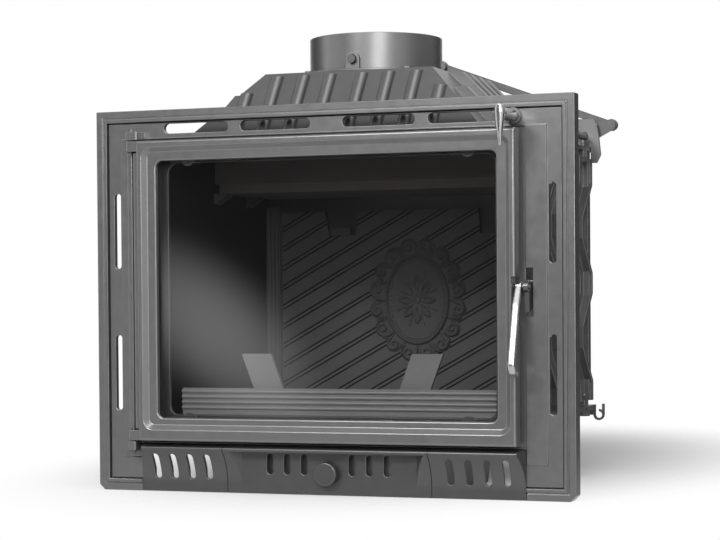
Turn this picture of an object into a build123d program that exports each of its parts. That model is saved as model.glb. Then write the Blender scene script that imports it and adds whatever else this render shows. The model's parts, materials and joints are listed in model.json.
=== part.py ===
"""Cast-iron fireplace insert: a ribbed firebox behind a wide front plate, with a glazed side-hung door,
a flue damper worked by a lever at the front, and an ash drawer with an air shutter.

Millimetres.  Every piece is drawn from the middle of the front plate's lower edge: X to the right,
Y towards the back, Z up.  save() moves it back, so that the origin lies on the floor under the flue.
"""
import math
import os

from build123d import *

# ---------------------------------------------------------------- driving dimensions
# Front plate, from the floor up and from the middle out
sill_height = 64.0           # height of the bottom panels
door_rise = 8.5              # the door hangs this far above them
lower_rail = 32.5
window_height = 359.5
upper_rail = 29.0
plate_above = 44.5           # plate above the door
window_half = 248.0
stile_width = 28.0
surround_width = 35.5        # raised field beside the door
plate_beside = 38.5          # plate beyond the raised field
plate_field_y = 3.0          # the field lies this far behind the border's face
plate_wall = 8.0
rim_depth = 22.0             # the border turns back this far round the edge
rim_wall = 6.0
band_width = 9.5             # flat outer band of the border
ridge_width = 5.0            # raised bead inside the band
ridge_gap = 2.0
ridge_height = 1.2
gutter_depth = 1.5
border_groove = 1.6          # groove between the ridge and the field
border_groove_depth = 4.0
corner_chamfer = 8.0         # lower left and right corners
surround_rise = 2.0
surround_foot = 17.0         # the raised field runs down behind the panels by this much
surround_top = 4.5
recess_depth = 2.0           # the door stands in a shallow recess
recess_above = 3.0
recess_below = 2.5
recess_beside = 2.0          # recess beyond the hinge pins' axis
top_slot_rise = 11.0         # slots above the door
top_slot_width = 14.0
top_slot_start = 24.0
top_slot_length = 104.0
top_slot_bridge = 19.0
top_slot_end = 21.0          # the outer slots end this far from the lever's shaft
side_slot_gap = 2.5          # slots beside the raised field
side_slot_width = 9.5
side_slot_length = 106.7
side_slot_apart = 94.2
side_slot_drop = 1.2
fire_corner = 14.0

# Door
door_gap = 6.0               # between the door's edge and the raised field
door_flat_y = -19.0          # face of the flat band round the glass
door_crest_y = -26.0         # top of the moulded rim
door_back_y = -6.0
door_round = 4.0
window_radius = 9.0
flat_width = 13.0
flat_below = 10.0            # flat band under the window
slope_width = 7.0
slope_corner = 8.0
lip_depth = 6.0              # metal in front of the glass
lip_round = 2.8
glass_thick = 4.0
glass_overlap = 7.0
glass_play = 1.0
tape_thick = 3.0
tape_width = 5.0
rope_width = 8.0
soft_gap = 0.3               # between the rope and the plate
rope_inset = 5.0             # rope behind the door's upper and lower edges
clip_radius = 12.0
clip_length = 10.0
clip_thick = 2.0
clip_inset = 2.0             # middle of the round end, inside the pane's seat
clip_screw_radius = 2.0
clip_screw_rise = 6.8        # screw's distance from the middle of the round end
clip_screw_bite = 5.0
clip_screw_head = 2.5
clip_from_corner = 43.0      # clips' distance from the window's sides

# Door hinge
hinge_beside = 14.5          # pins' axis beside the door
hinge_y = -10.0
pin_radius = 3.5
pin_play = 0.05
pin_bite = 2.5               # a pin reaches this far past its ear
pin_head = 4.0
pin_head_radius = 5.0
pin_head_top = 3.0
ear_height = 14.5
ear_reach = 5.5              # the ear ends this far beyond the pin's axis
ear_front_y = -20.0
ear_round = 5.0
lug_height = 12.0
lug_round = 3.5
lug_gap = 1.5                # between lug and ear
upper_lug_reach = 14.5
lower_lug_reach = 8.0
lug_shelf = 10.0             # raised plate under the lower lug
lug_shelf_reach = 9.0
hinge_bead_front = -14.0     # upright bead along the door's hinge edge
hinge_bead_back = -7.5
hinge_bead_gap = 4.0
bead_radius = 4.5            # upright bead on the plate beside the door's hinge edge
bead_rise = 3.0
bead_end = 16.5
hinge_groove_depth = 4.0     # groove in the recess behind the hinge edge

# Handle and latch
handle_width = 10.0
handle_thick = 8.0
handle_y = -10.0
handle_rise = 1.0            # handle's pin above the door's middle
handle_drop = 112.0
handle_lean = 38.0
handle_tip = ((0.0, 8.0), (5.0, 0.0), (20.0, -4.0))      # the end turns back: distances back and up
handle_pin_radius = 3.0
hub_radius = 7.0
notch_depth = 6.0
notch_below = 52.0
notch_above = 13.0
pocket_below = 39.0
pocket_above = 25.0
pocket_width = 10.0
pocket_side = 0.5
pin_start = 3.5              # the handle's pin starts this far outside the pane
cam_thick = 6.0
cam_radius = 34.0
cam_nose = 5.0
cam_nose_height = 16.0
keeper_radius = 3.5
keeper_reach = 25.0          # keeper's axis behind the handle's pin
keeper_rise = 7.0
keeper_play = 1.5
cheek_thick = 4.0
cheek_half = 9.0
cheek_back = 7.0

# Bottom panels
panel_reach = 5.5            # the bottom panels reach this far past the door
panel_lean = 24.0            # the panels' face curves forward to a corner this far in front
panel_foot = 12.0            # height of the upright foot
panel_round = 3.0            # radius of that corner
panel_wall = 7.0
panel_bevel = 8.5
panel_back_gap = 0.3         # between the drawer's front and the plate
foot_gap = 0.3               # between the panels and the ground
seam_half = 150.0
seam_gap = 0.5
inset_half = 128.5
inset_y = 0.0
inset_drop = 5.0             # upper edge of the inset field, below the panels' top
inset_flare = 40.0           # angle of the field's bevelled sides
louvre_count = 4
louvre_first = 27.5          # first slot's distance from the seam
louvre_last = 25.0           # last slot's distance from the panel's end
louvre_slot_width = 9.0
louvre_slot_low = 19.0
louvre_slot_drop = 10.0
slot_round = 1.6
centre_slot_width = 9.0
centre_slot_low = 28.0
centre_slot_drop = 8.0
centre_slot_places = (35.0, 60.5, 86.0)
ledge_rise = 3.5             # the ledge on the panels slopes up by this much
sill_window_before = 9.0     # the openings behind the slots start this far before the first one
sill_window_reach = 13.5     # and end this far past the last one
mouth_low = 4.0              # opening for the drawer
mouth_play = 8.0
mouth_above = 2.5
knob_radius = 16.5
knob_thick = 10.0
knob_round = 2.5
knob_gap = 4.0               # between the knob and the inset field
knob_z = 30.0
knob_stem_radius = 4.0
stem_play = 0.3
shutter_thick = 2.5
shutter_play = 0.2
shutter_travel = 12.0
shutter_low = 21.0
shutter_drop = 7.0
shutter_margin = 12.0        # the shutter reaches this far past the outer slots' middles
guide_wall = 2.5
guide_lip = 3.0
louvre_bolt_radius = 3.0
louvre_bolt_z = 35.0
louvre_bolt_bite = 5.0
louvre_bolt_seam = 8.0       # bolts' distances from the seam and from the panel's end
louvre_bolt_end = 6.5
louvre_bolt_head = 3.0

# Body
body_beside = 14.0           # outer face of the side walls, outside the window
body_back = 410.0            # outer face of the back wall
body_wall = 6.0
fire_inset = 8.0             # the plate's opening stands this far inside the window
fire_rise = 3.0
fire_drop = 2.5
floor_thick = 8.0
wall_above = 22.5            # the walls end this far above the window
flange_thick = 6.0
flange_reach = 14.0          # the hood's flange and the floor stand out this far past the walls
fin_height = 12.0
fin_thick = 7.0
fin_first = 100.0            # middle line of the front-most fin
fin_last_inset = 32.0        # middle line of the rear-most fin, from the wall's rear edge
fin_count = 5
fin_swing = 27.0             # a fin leans this far to each side of its middle line
fin_foot = 7.0               # fins start this far above the floor
fin_lean = 53.0              # height of a leaning stretch
fin_straight = 28.0          # height of an upright stretch
rear_edge = 14.0             # upright bar at the wall's rear edge
rear_edge_height = 8.0
back_rib_pitch = 55.0
back_rib_width = 6.0
back_rib_height = 10.0
back_rib_end = 15.0
back_rib_count = 9
liner_thick = 7.0
liner_drop = 20.0
back_liner_gap = 6.0         # behind the back plate
back_liner_thick = 8.0
back_liner_drop = 80.0       # the back plate ends this far below the walls' top
bolt_radius = 5.0            # bolts that clamp hood, walls and floor
bolt_play = 0.5
bolt_beside = 9.6            # they stand this far outside the walls
bolt_front_y = 34.0
bolt_from_back = 58.0
bolt_end = 2.0
nut_height = 6.5
nut_flats = 16.0
lug_wall = 10.0              # wall lugs that the bolts pass through
lug_half = 11.0
hook_width = 15.0            # curled bars behind the floor
hook_gap = 1.0
hook_thick = 4.0
hook_start = 200.0
hook_reach = 18.0            # middle of the curl, outside the walls
hook_drop = 7.0
hook_curl = 8.5
hook_wall = 3.5
hook_rise = 16.5

# Hood and flue
flue_y = 208.0               # flue's axis behind the front plate's face
hood_height = 98.0
hood_wall = 6.0
hood_inset = 39.0            # foot of the side slopes, inside the walls
hood_front_inset = 6.5       # foot of the front slope behind the plate
hood_back_inset = 11.5
hood_top_half = 125.0
hood_top_depth = 119.5       # half depth of the flat top
hood_rib_pitch = 40.25
hood_rib_first = 23.5        # front ribs: distance of the first from the middle
hood_rib_count = 4
hood_rib_width = 18.0
hood_rib_depth = 11.0        # front ribs, measured level
hood_rib_round = 8.6
hood_rib_start = 8.0
hood_rib_stop = 5.0          # front ribs end this far below the flat top
hood_short_stop = 28.5       # the short ribs beside the hips end this far below it
side_rib_depth = 20.0        # side ribs, measured level
side_rib_offsets = (-40.0, 0.0, 40.0, 80.0)
side_short_offsets = (-109.0, 125.0)
side_rib_width = 17.0
side_rib_stop = 0.5
pipe_radius = 91.0           # seat for the flue pipe
collar_wall = 5.3
collar_height = 56.0
pipe_seat = 30.0
pipe_step = 3.0              # the pipe stands on a step this wide
collar_rim = 25.0            # the collar's flange reaches this far past the pipe
collar_flange = 3.5
collar_bolt_inset = 10.0
collar_bolt_radius = 4.0
collar_bolt_bite = 5.0
collar_bolt_head = 3.0
collar_bolt_flats = 13.0
boss_wall = 4.5
boss_reach = 5.0

# Damper and its linkage
spindle_rise = 18.0          # spindle's axis above the hood
spindle_radius = 6.0
crank_inset = 12.0           # back face of the crank arms, inside the back wall's face
crank_thick = 6.0
crank_throw = 42.0
crank_angle = 24.0           # degrees above level
crank_hub = 11.0
crank_tip = 8.0
crank_pin_radius = 4.0
crank_pin_end = 5.0
blade_play = 4.0             # round the blade
blade_thick = 4.0
strap_half = 12.0
strap_rise = 7.5             # half height of the strap that holds the spindle
strap_inset = 8.0
strap_round = 3.0
shaft_inset = 10.0           # lever's shaft inside the door's right edge
shaft_rise = 16.5            # and above the door
shaft_radius = 6.0
shaft_bite = 4.0
lever_y = -67.0              # front of the horn
horn_drop = 43.0
horn_rise = 11.0
horn_width = 14.5
horn_depth = 12.0
horn_point = 1.8
horn_shoulder = 4.0
horn_crown = 9.0
horn_round = 1.2
stem_front_radius = 7.0
stem_back_radius = 9.0
bush_radius = 11.3
bush_front_y = -3.0
bush_wall = 2.0
bush_past = 4.0
rod_radius = 5.5
rod_eye_radius = 9.0
rod_thick = 6.0
washer_reach = 2.5
washer_thick = 1.5
running_play = 0.05
open_play = 0.4              # play of the rod's upper eye
side_play = 0.5
bracket_gap = 6.0            # between the bracket and the crank
bracket_thick = 5.0
bracket_foot = 16.0
bracket_inner = 16.0
bracket_outer = 26.0
bracket_above = 26.0
bracket_below = 17.0
bracket_bolt_radius = 3.0
bracket_bolt_inset = 7.0
bracket_bolt_flats = 10.0
bracket_bolt_head = 3.5

# Ash box, drawer and grate
box_back = 306.0             # rear of the box under the floor
box_back_low = 262.0         # and on the ground: its rear wall leans
box_wall = 6.0
pan_half = 125.0
pan_back = 250.0
pan_front = 14.0
pan_low = 8.0
pan_drop = 4.0
pan_wall = 2.0
pan_ear = 10.0
pan_ear_low = 12.0
pan_ear_high = 40.0
runner_width = 20.0
runner_inset = 5.0
grate_half = 110.0
grate_front = 90.0
grate_back = 300.0
grate_ledge = 6.0
grate_seat = 4.0             # depth of the step that the grate lies in
grate_rise = 2.0
grate_play = 0.5
grate_bar = 8.0
grate_bar_count = 8
grate_rim = 14.0

# Inside the firebox
guard_play = 7.0             # the guard ends this far inside the plate's opening
guard_y = 28.0
guard_thick = 9.0
guard_height = 37.0
guard_rib_radius = 2.6
guard_rib_first = 5.0
guard_rib_pitch = 7.6
guard_rib_count = 4
support_y = 52.0
support_thick = 6.0
support_height = 85.0
support_width = 45.0
support_inner = 73.0
support_lean = 32.0
baffle_play = 5.0            # beside the baffles
baffle_front = 172.0
baffle_thick = 8.0
baffle_drop = 59.0           # pegs' upper face below the walls' top
baffle_back_gap = 16.0
lower_baffle_set = 18.0      # the lower baffle starts this far behind the upper one
lower_baffle_edge = ((12.0, 0.0), (8.0, 6.0), (0.0, 6.0))      # its turned-up edge: distances back and up
upper_baffle_rise = 14.0     # foot of the upper baffle's lip above the pegs
upper_baffle_lip = ((14.0, 35.0), (5.0, 33.0), (0.0, 2.0), (8.0, 0.0), (30.0, 0.0), (30.0, 8.0), (16.0, 10.0),
                    (20.0, 26.0))
upper_baffle_back = 20.0     # its rear part above the lip's foot
peg_height = 16.0
peg_tip = 3.0                # height of a peg at its free end
peg_depth = 26.0
peg_reach = 20.0
peg_front = 8.0
peg_from_back = 104.0
post_width = 23.0
post_front = 10.0
post_above = 8.0
flute_radius = 2.4
flute_pitch = 6.5
flute_first = 5.0
flute_count = 3
groove_width = 2.2
groove_depth = 2.5
groove_angle = 29.0
groove_step = 30.5
groove_pair = 6.5
hanger_x = 126.0
hanger_half = 17.0
hanger_height = 11.0
hanger_drop = 37.5
hanger_front = 6.0
notch_half = 28.0            # hanger notches in the back plate, wider at the top
notch_narrow_in = 25.0
notch_narrow_out = 20.0
notch_drop = 38.0
medal_rise = 160.0           # middle of the medallion above the floor
medal_half_width = 50.0
medal_half_height = 67.0
medal_border = 12.0
medal_ring = 5.0
medal_plate_rise = 4.0
medal_ring_rise = 8.0
medal_rose_rise = 7.0
scroll_count = 16
scroll_radius = 14.0
scroll_reach_x = 26.0
scroll_reach_z = 19.2
petal_count = 8
petal_radius = 8.5
petal_reach_x = 21.0
petal_reach_z = 26.0
rose_radius = 9.0

# ---------------------------------------------------------------- places worked out from these
door_low = sill_height + door_rise
window_low = door_low + lower_rail
window_high = window_low + window_height
window_mid = (window_low + window_high) / 2
door_high = window_high + upper_rail
door_half = window_half + stile_width
surround_half = door_half + surround_width
plate_half = surround_half + plate_beside
plate_height = door_high + plate_above
mid_z = plate_height / 2
field_back = plate_field_y + plate_wall
recess_y = plate_field_y + recess_depth
surround_y = plate_field_y - surround_rise
hinge_x = -door_half - hinge_beside
recess_right = door_half + door_gap
recess_left = hinge_x - recess_beside
recess_low = door_low - recess_below
recess_high = door_high + recess_above
glass_back = door_flat_y + lip_depth + tape_thick + glass_thick
seat_half = window_half + glass_overlap
clip_x = window_half - clip_from_corner
lower_lug_z = door_low - lug_gap - lug_height
upper_lug_z = door_high + lug_gap

handle_x = door_half
handle_z = (door_low + door_high) / 2 + handle_rise
notch_x = door_half - notch_depth
keeper_y = handle_y + keeper_reach
keeper_z = handle_z + keeper_rise

panel_half = door_half + panel_reach
panel_top = sill_height + ledge_rise
inset_top = sill_height - inset_drop
louvre_slot_high = sill_height - louvre_slot_drop
centre_slot_high = sill_height - centre_slot_drop
shutter_high = sill_height - shutter_drop
pan_high = sill_height - pan_drop
panel_back_y = plate_field_y - panel_back_gap
louvre_pitch = (panel_half - louvre_last - seam_half - louvre_first) / (louvre_count - 1)
louvre_slot_places = [seam_half + louvre_first + i * louvre_pitch for i in range(louvre_count)]
louvre_bolt_places = (seam_half + louvre_bolt_seam, panel_half - louvre_bolt_end)
mouth_half = pan_half + mouth_play
mouth_high = pan_high + mouth_above

fire_half = window_half - fire_inset
fire_low = window_low + fire_rise
fire_high = window_high - fire_drop
floor_z = fire_low
wall_top = window_high + wall_above
body_half = window_half + body_beside
wall_in_half = body_half - body_wall
liner_half = wall_in_half - liner_thick
back_in = body_back - body_wall
back_liner_y = back_in - back_liner_gap - back_liner_thick
back_liner_top = wall_top - back_liner_drop
flange_half = body_half + flange_reach
fin_pitch = (back_in - fin_last_inset - fin_first) / (fin_count - 1)
bolt_places_y = (bolt_front_y, body_back - bolt_from_back)
flange_bolt_places = [(side * (body_half + bolt_beside), y) for side in (-1, 1) for y in bolt_places_y]

hood_base = wall_top + flange_thick
hood_top = hood_base + hood_height
hood_foot_half = body_half - hood_inset
hood_foot_front = field_back + hood_front_inset
hood_foot_back = body_back - hood_back_inset
collar_outer = pipe_radius + collar_wall
collar_top = hood_top + collar_height
pipe_stop_z = collar_top - pipe_seat
throat_radius = pipe_radius - pipe_step
collar_flange_radius = pipe_radius + collar_rim
collar_bolt_reach = (collar_flange_radius - collar_bolt_inset) / math.sqrt(2)
collar_bolt_places = [(a * collar_bolt_reach, flue_y + b * collar_bolt_reach) for a in (-1, 1) for b in (-1, 1)]

spindle_z = hood_top + spindle_rise
spindle_front_y = flue_y - collar_outer - boss_reach - boss_wall - 1.2
linkage_y = body_back - crank_inset
throw_x = crank_throw * math.cos(math.radians(crank_angle))
throw_z = crank_throw * math.sin(math.radians(crank_angle))
blade_radius = throat_radius - blade_play
shaft_x = door_half - shaft_inset
shaft_z = door_high + shaft_rise
shaft_hole_radius = shaft_radius + bush_wall
bracket_back = linkage_y - crank_thick - bracket_gap
bracket_front = bracket_back - bracket_thick
bracket_bolt_place = (shaft_x - bracket_bolt_inset, bracket_front - bracket_foot / 2)

box_half = seam_half
guard_half = fire_half - guard_play
guard_top = floor_z + guard_height
support_top = floor_z + support_height
baffle_half = liner_half - baffle_play
peg_top = wall_top - baffle_drop


# ---------------------------------------------------------------- drawing helpers
def save(shape, node):
    """Write one piece, moved so that the origin lies under the flue."""
    export_step(Pos(0, -flue_y, 0) * shape, f"parts/{node}.step")


def block(x0, x1, y0, y1, z0, z1):
    """A box between two corners."""
    return Pos((x0 + x1) / 2, (y0 + y1) / 2, (z0 + z1) / 2) * Box(x1 - x0, y1 - y0, z1 - z0)


def upright(sketch, y0, y1, taper=0.0):
    """A front-view outline (X, Z) made solid from y1 forward to y0."""
    return extrude(Plane.XZ.offset(-y1) * sketch, y1 - y0, taper=taper)


def sideways(points, x0, x1):
    """A side-view outline of (Y, Z) points made solid from x0 to x1."""
    return extrude(Plane.YZ.offset(x0) * make_face(Polyline(*points, close=True)), x1 - x0)


def frame_face(half, low, high, wall):
    """Front view of a rectangular frame with a given wall."""
    outer = Pos(0, (low + high) / 2) * Rectangle(2 * half, high - low)
    inner = Pos(0, (low + high) / 2) * Rectangle(2 * (half - wall), high - low - 2 * wall)
    return outer - inner


def bar_y(radius, x, z, y0, y1):
    """A round bar along Y."""
    return Pos(x, (y0 + y1) / 2, z) * Rot(90, 0, 0) * Cylinder(radius, y1 - y0)


def bar_x(radius, y, z, x0, x1):
    """A round bar along X."""
    return Pos((x0 + x1) / 2, y, z) * Rot(0, 90, 0) * Cylinder(radius, x1 - x0)


def bar_z(radius, x, y, z0, z1):
    """A round bar along Z."""
    return Pos(x, y, (z0 + z1) / 2) * Cylinder(radius, z1 - z0)


def hexagon(across_flats, x, y, z0, z1):
    """A nut or bolt head standing on z0."""
    outline = RegularPolygon(across_flats / 2, 6, major_radius=False)
    return extrude(Pos(x, y, z0) * outline, z1 - z0)


def slot_x(x0, x1, z0, z1, y0, y1):
    """A slot with round ends, cut from y0 to y1; it runs along the longer side."""
    wide, high = x1 - x0, z1 - z0
    outline = RectangleRounded(wide, high, min(wide, high) / 2 - 0.2)
    return upright(Pos((x0 + x1) / 2, (z0 + z1) / 2) * outline, y0, y1)


def mirrored(shape):
    """The same piece on the other side of the middle."""
    return mirror(shape, about=Plane.YZ)


# ---------------------------------------------------------------- front plate
def slot_places():
    """Left, right, low and high edge of each slot in the plate's right half."""
    top = door_high + top_slot_rise
    second = top_slot_start + top_slot_length + top_slot_bridge
    places = [(top_slot_start, top_slot_start + top_slot_length, top, top + top_slot_width),
              (second, shaft_x - top_slot_end, top, top + top_slot_width)]
    side = surround_half + side_slot_gap
    middle = mid_z - side_slot_drop
    for way in (-1, 1):
        near = middle + way * side_slot_apart / 2
        far = near + way * side_slot_length
        places.append((side, side + side_slot_width, min(near, far), max(near, far)))
    return places


def hinge_lugs():
    """Two lugs bored for the hinge pins, and the raised plate under the lower one."""
    lugs = []
    for z0, reach in ((upper_lug_z, upper_lug_reach), (lower_lug_z, lower_lug_reach)):
        lug = block(hinge_x - ear_reach, hinge_x + reach, ear_front_y, recess_y, z0, z0 + lug_height)
        lug = fillet(lug.edges().filter_by(Axis.Z).group_by(Axis.Y)[0], lug_round)
        lugs.append(lug - bar_z(pin_radius, hinge_x, hinge_y, z0 - 1, z0 + lug_height + 1))
    shelf = block(hinge_x - ear_reach - lug_shelf_reach, hinge_x + lower_lug_reach, surround_y - gutter_depth,
                  plate_field_y, lower_lug_z - lug_shelf, lower_lug_z)
    return lugs[0] + lugs[1] + shelf


def front_plate():
    """Plate with its border, raised field, recess for the door, slots, windows, hinge lugs and pocket."""
    outline = Pos(0, mid_z) * Rectangle(2 * plate_half, plate_height)
    plate = upright(outline, plate_field_y, field_back)
    plate += upright(frame_face(plate_half, 0, plate_height, band_width), 0, plate_field_y)
    plate += upright(frame_face(plate_half, 0, plate_height, rim_wall), field_back, rim_depth)
    ridge_inset = band_width + ridge_gap
    ridge = frame_face(plate_half - ridge_inset, ridge_inset, plate_height - ridge_inset, ridge_width)
    plate += upright(ridge, -ridge_height, plate_field_y)
    gutter = frame_face(plate_half - band_width, band_width, plate_height - band_width, ridge_gap)
    plate += upright(gutter, plate_field_y - gutter_depth, plate_field_y)

    inset = ridge_inset + ridge_width
    groove = frame_face(plate_half - inset, inset, plate_height - inset, border_groove)
    plate -= upright(groove, plate_field_y - 1, plate_field_y + border_groove_depth)

    plate += block(-surround_half, surround_half, surround_y, plate_field_y,
                   sill_height - surround_foot, door_high + surround_top)
    bead = block(recess_left - 2 * bead_radius, recess_left, surround_y - bead_rise, surround_y,
                 door_low + bead_end, door_high - bead_end)
    plate += fillet(bead.edges().filter_by(Axis.Z).group_by(Axis.Y)[0], bead_radius - 2)
    plate -= block(recess_left, recess_right, surround_y - 1, recess_y, recess_low, recess_high)
    plate -= block(recess_left, hinge_x + hinge_bead_gap, recess_y - 1, recess_y + hinge_groove_depth,
                   door_low + bead_end, door_high - bead_end)

    for x0, x1, z0, z1 in slot_places():
        slot = slot_x(x0, x1, z0, z1, surround_y - 1, field_back + 1)
        plate -= slot
        plate -= mirrored(slot)

    # opening to the fire, with round corners
    fire = RectangleRounded(2 * fire_half, fire_high - fire_low, fire_corner)
    plate -= upright(Pos(0, (fire_low + fire_high) / 2) * fire, 0, field_back + 1)

    # sill behind the bottom panels: the border is cut away, and air and drawer pass through
    sill_half = panel_half + seam_gap
    plate -= block(-sill_half, sill_half, -3, plate_field_y, -1, panel_top + seam_gap)
    plate -= block(-box_half - 1, box_half + 1, field_back, rim_depth + 1, -1, rim_wall + 1)
    plate -= block(-mouth_half, mouth_half, 0, rim_depth + 1, mouth_low, mouth_high)
    window = block(louvre_slot_places[0] - sill_window_before, louvre_slot_places[-1] + sill_window_reach,
                   0, field_back + 1, louvre_slot_low - 5, louvre_slot_high + 4)
    plate -= window
    plate -= mirrored(window)
    for x in louvre_bolt_places:
        for side in (-1, 1):
            plate -= bar_y(louvre_bolt_radius, side * x, louvre_bolt_z, 0, field_back + 1)

    plate += hinge_lugs()

    # pocket for the latch cam, hole for the lever's bush
    plate -= block(recess_right - pocket_side, recess_right + pocket_width, -1, field_back + 1,
                   handle_z - pocket_below, handle_z + pocket_above)
    plate -= bar_y(shaft_hole_radius, shaft_x, shaft_z, -1, field_back + 1)

    lower_corners = Rectangle(2 * plate_half, plate_height).vertices().group_by(Axis.Y)[0]
    plate -= upright(outline - Pos(0, mid_z) * chamfer(lower_corners, corner_chamfer), -5, rim_depth + 1)
    return plate


# ---------------------------------------------------------------- bottom panels
def panel_body(y_back, x0, x1):
    """A bottom panel without its slots: upright foot, face that curves forward, rounded top edge, ledge."""
    face = [
        Line((y_back, foot_gap), (0, foot_gap)),
        Line((0, foot_gap), (0, panel_foot)),
        TangentArc((0, panel_foot), (-panel_lean, sill_height), tangent=(0, 1)),
        Line((-panel_lean, sill_height), (-2, panel_top)),
        Line((-2, panel_top), (y_back, panel_top)),
        Line((y_back, panel_top), (y_back, foot_gap)),
    ]
    body = extrude(Plane.YZ.offset(x0) * make_face(face), x1 - x0)
    return fillet(body.edges().filter_by(Axis.X).sort_by(Axis.Y)[0], panel_round)


def panel_slot(x, width, low, high, y0, y1):
    """Cutter for an upright slot with round ends."""
    return slot_x(x - width / 2, x + width / 2, low, high, y0, y1)


def soften_slots(panel, places, width, front):
    """Round the slots' edges that lie in the panel's front, no further back than front."""
    def on_slot(edge):
        middle = edge.position_at(0.5)
        beside = min(abs(middle.X - place) for place in places)
        return beside < width / 2 + 0.1 and edge.bounding_box().max.Y < front and low < middle.Z < high
    low, high = min(centre_slot_low, louvre_slot_low) - 1, max(centre_slot_high, louvre_slot_high) + 1
    return fillet(panel.edges().filter_by(on_slot), slot_round)


def louvre_panel():
    """Right-hand panel: curved face, bevelled outer end, four slots."""
    back = plate_field_y
    panel = panel_body(back, seam_half + seam_gap, panel_half)
    reach = panel_lean + 3
    bevel = [(panel_half + 1, back + 1), (panel_half, 0.0), (panel_half - panel_bevel * reach / panel_lean, -reach),
             (panel_half + panel_bevel, -reach), (panel_half + panel_bevel, back + 1)]
    panel -= extrude(Pos(0, 0, -1) * make_face(Polyline(*bevel, close=True)), panel_top + 5)
    hollow = block(louvre_slot_places[0] - 10, louvre_slot_places[-1] + 10, -panel_lean, back,
                   panel_foot, sill_height - panel_wall)
    panel -= hollow & (Pos(0, panel_wall, 0) * panel_body(back, seam_half, panel_half))
    for x in louvre_slot_places:
        panel -= panel_slot(x, louvre_slot_width, louvre_slot_low, louvre_slot_high, -reach, back + 1)
    panel = soften_slots(panel, louvre_slot_places, louvre_slot_width, 0.0)
    for x in louvre_bolt_places:
        panel -= bar_y(louvre_bolt_radius, x, louvre_bolt_z, plate_field_y - louvre_bolt_bite, back + 1)
    return panel


def louvre_bolts():
    """Bolts from behind the sill that hold the two louvre panels."""
    bolts = []
    for x in louvre_bolt_places:
        for side in (-1, 1):
            head = bar_y(2 * louvre_bolt_radius, side * x, louvre_bolt_z, field_back, field_back + louvre_bolt_head)
            shank = bar_y(louvre_bolt_radius, side * x, louvre_bolt_z, plate_field_y - louvre_bolt_bite, field_back)
            bolts.append(head + shank)
    return Compound(children=bolts)


def drawer_front():
    """Centre panel: curved face with an inset field, six slots, a slit for the knob's stem, shutter guides."""
    edge = seam_half - seam_gap
    panel = panel_body(panel_back_y, -edge, edge)
    # the inset field stands upright and its sides run out to the curved face on a bevel
    front = -panel_lean - 1
    spread = (inset_y - front) * math.tan(math.radians(inset_flare))
    inset = [(-inset_half, inset_y), (inset_half, inset_y), (inset_half + spread, front), (-inset_half - spread, front)]
    panel -= extrude(Pos(0, 0, -1) * make_face(Polyline(*inset, close=True)), inset_top + 1)
    places = [side * place for place in centre_slot_places for side in (-1, 1)]
    for x in places:
        panel -= panel_slot(x, centre_slot_width, centre_slot_low, centre_slot_high, -panel_lean - 5, panel_back_y + 1)
    panel = soften_slots(panel, places, centre_slot_width, inset_y + 0.1)
    stem = knob_stem_radius + stem_play
    panel -= slot_x(-shutter_travel - stem, stem, knob_z - stem, knob_z + stem, -panel_lean, panel_back_y + 1)
    # L-shaped guides above and below the shutter
    guide_half = centre_slot_places[-1] + shutter_margin + shutter_travel + 1
    lip_y = panel_back_y + shutter_thick + 2 * shutter_play
    low, high = shutter_low - shutter_play, shutter_high + shutter_play
    for z0, z1, lip0, lip1 in ((low - guide_wall, low, low - guide_wall, low + guide_lip),
                               (high, high + guide_wall, high - guide_lip, high + guide_wall)):
        panel += block(-guide_half, guide_half, panel_back_y, lip_y, z0, z1)
        panel += block(-guide_half, guide_half, lip_y, lip_y + 2, lip0, lip1)
    return panel


def air_shutter():
    """Flat strip behind the centre panel with six slots that match it when open."""
    half = centre_slot_places[-1] + shutter_margin
    y0 = panel_back_y + shutter_play
    strip = block(-half, half, y0, y0 + shutter_thick, shutter_low, shutter_high)
    for place in centre_slot_places:
        for x in (-place, place):
            strip -= panel_slot(x, centre_slot_width + 1, centre_slot_low - 1, shutter_high - 2,
                                y0 - 1, y0 + shutter_thick + 1)
    return strip


def air_knob():
    """Round knob with a domed edge, on a stem that reaches the shutter."""
    face_y = inset_y - knob_gap - knob_thick
    disc = bar_y(knob_radius, 0, knob_z, face_y, face_y + knob_thick)
    disc = fillet(disc.edges().group_by(Axis.Y)[0], knob_round)
    return disc + bar_y(knob_stem_radius, 0, knob_z, face_y + knob_thick, panel_back_y + shutter_play)


def ash_pan():
    """Open sheet-steel pan, hung behind the centre panel on two ears."""
    pan = block(-pan_half, pan_half, pan_front, pan_back, pan_low, pan_high)
    pan -= block(-pan_half + pan_wall, pan_half - pan_wall, pan_front + pan_wall, pan_back - pan_wall,
                 pan_low + pan_wall, pan_high + 1)
    for side in (-1, 1):
        a, b = sorted((side * (pan_half - 1), side * (pan_half - 1 - pan_ear)))
        pan += block(a, b, panel_back_y, pan_front, pan_low + pan_ear_low, pan_low + pan_ear_high)
    return pan


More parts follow.
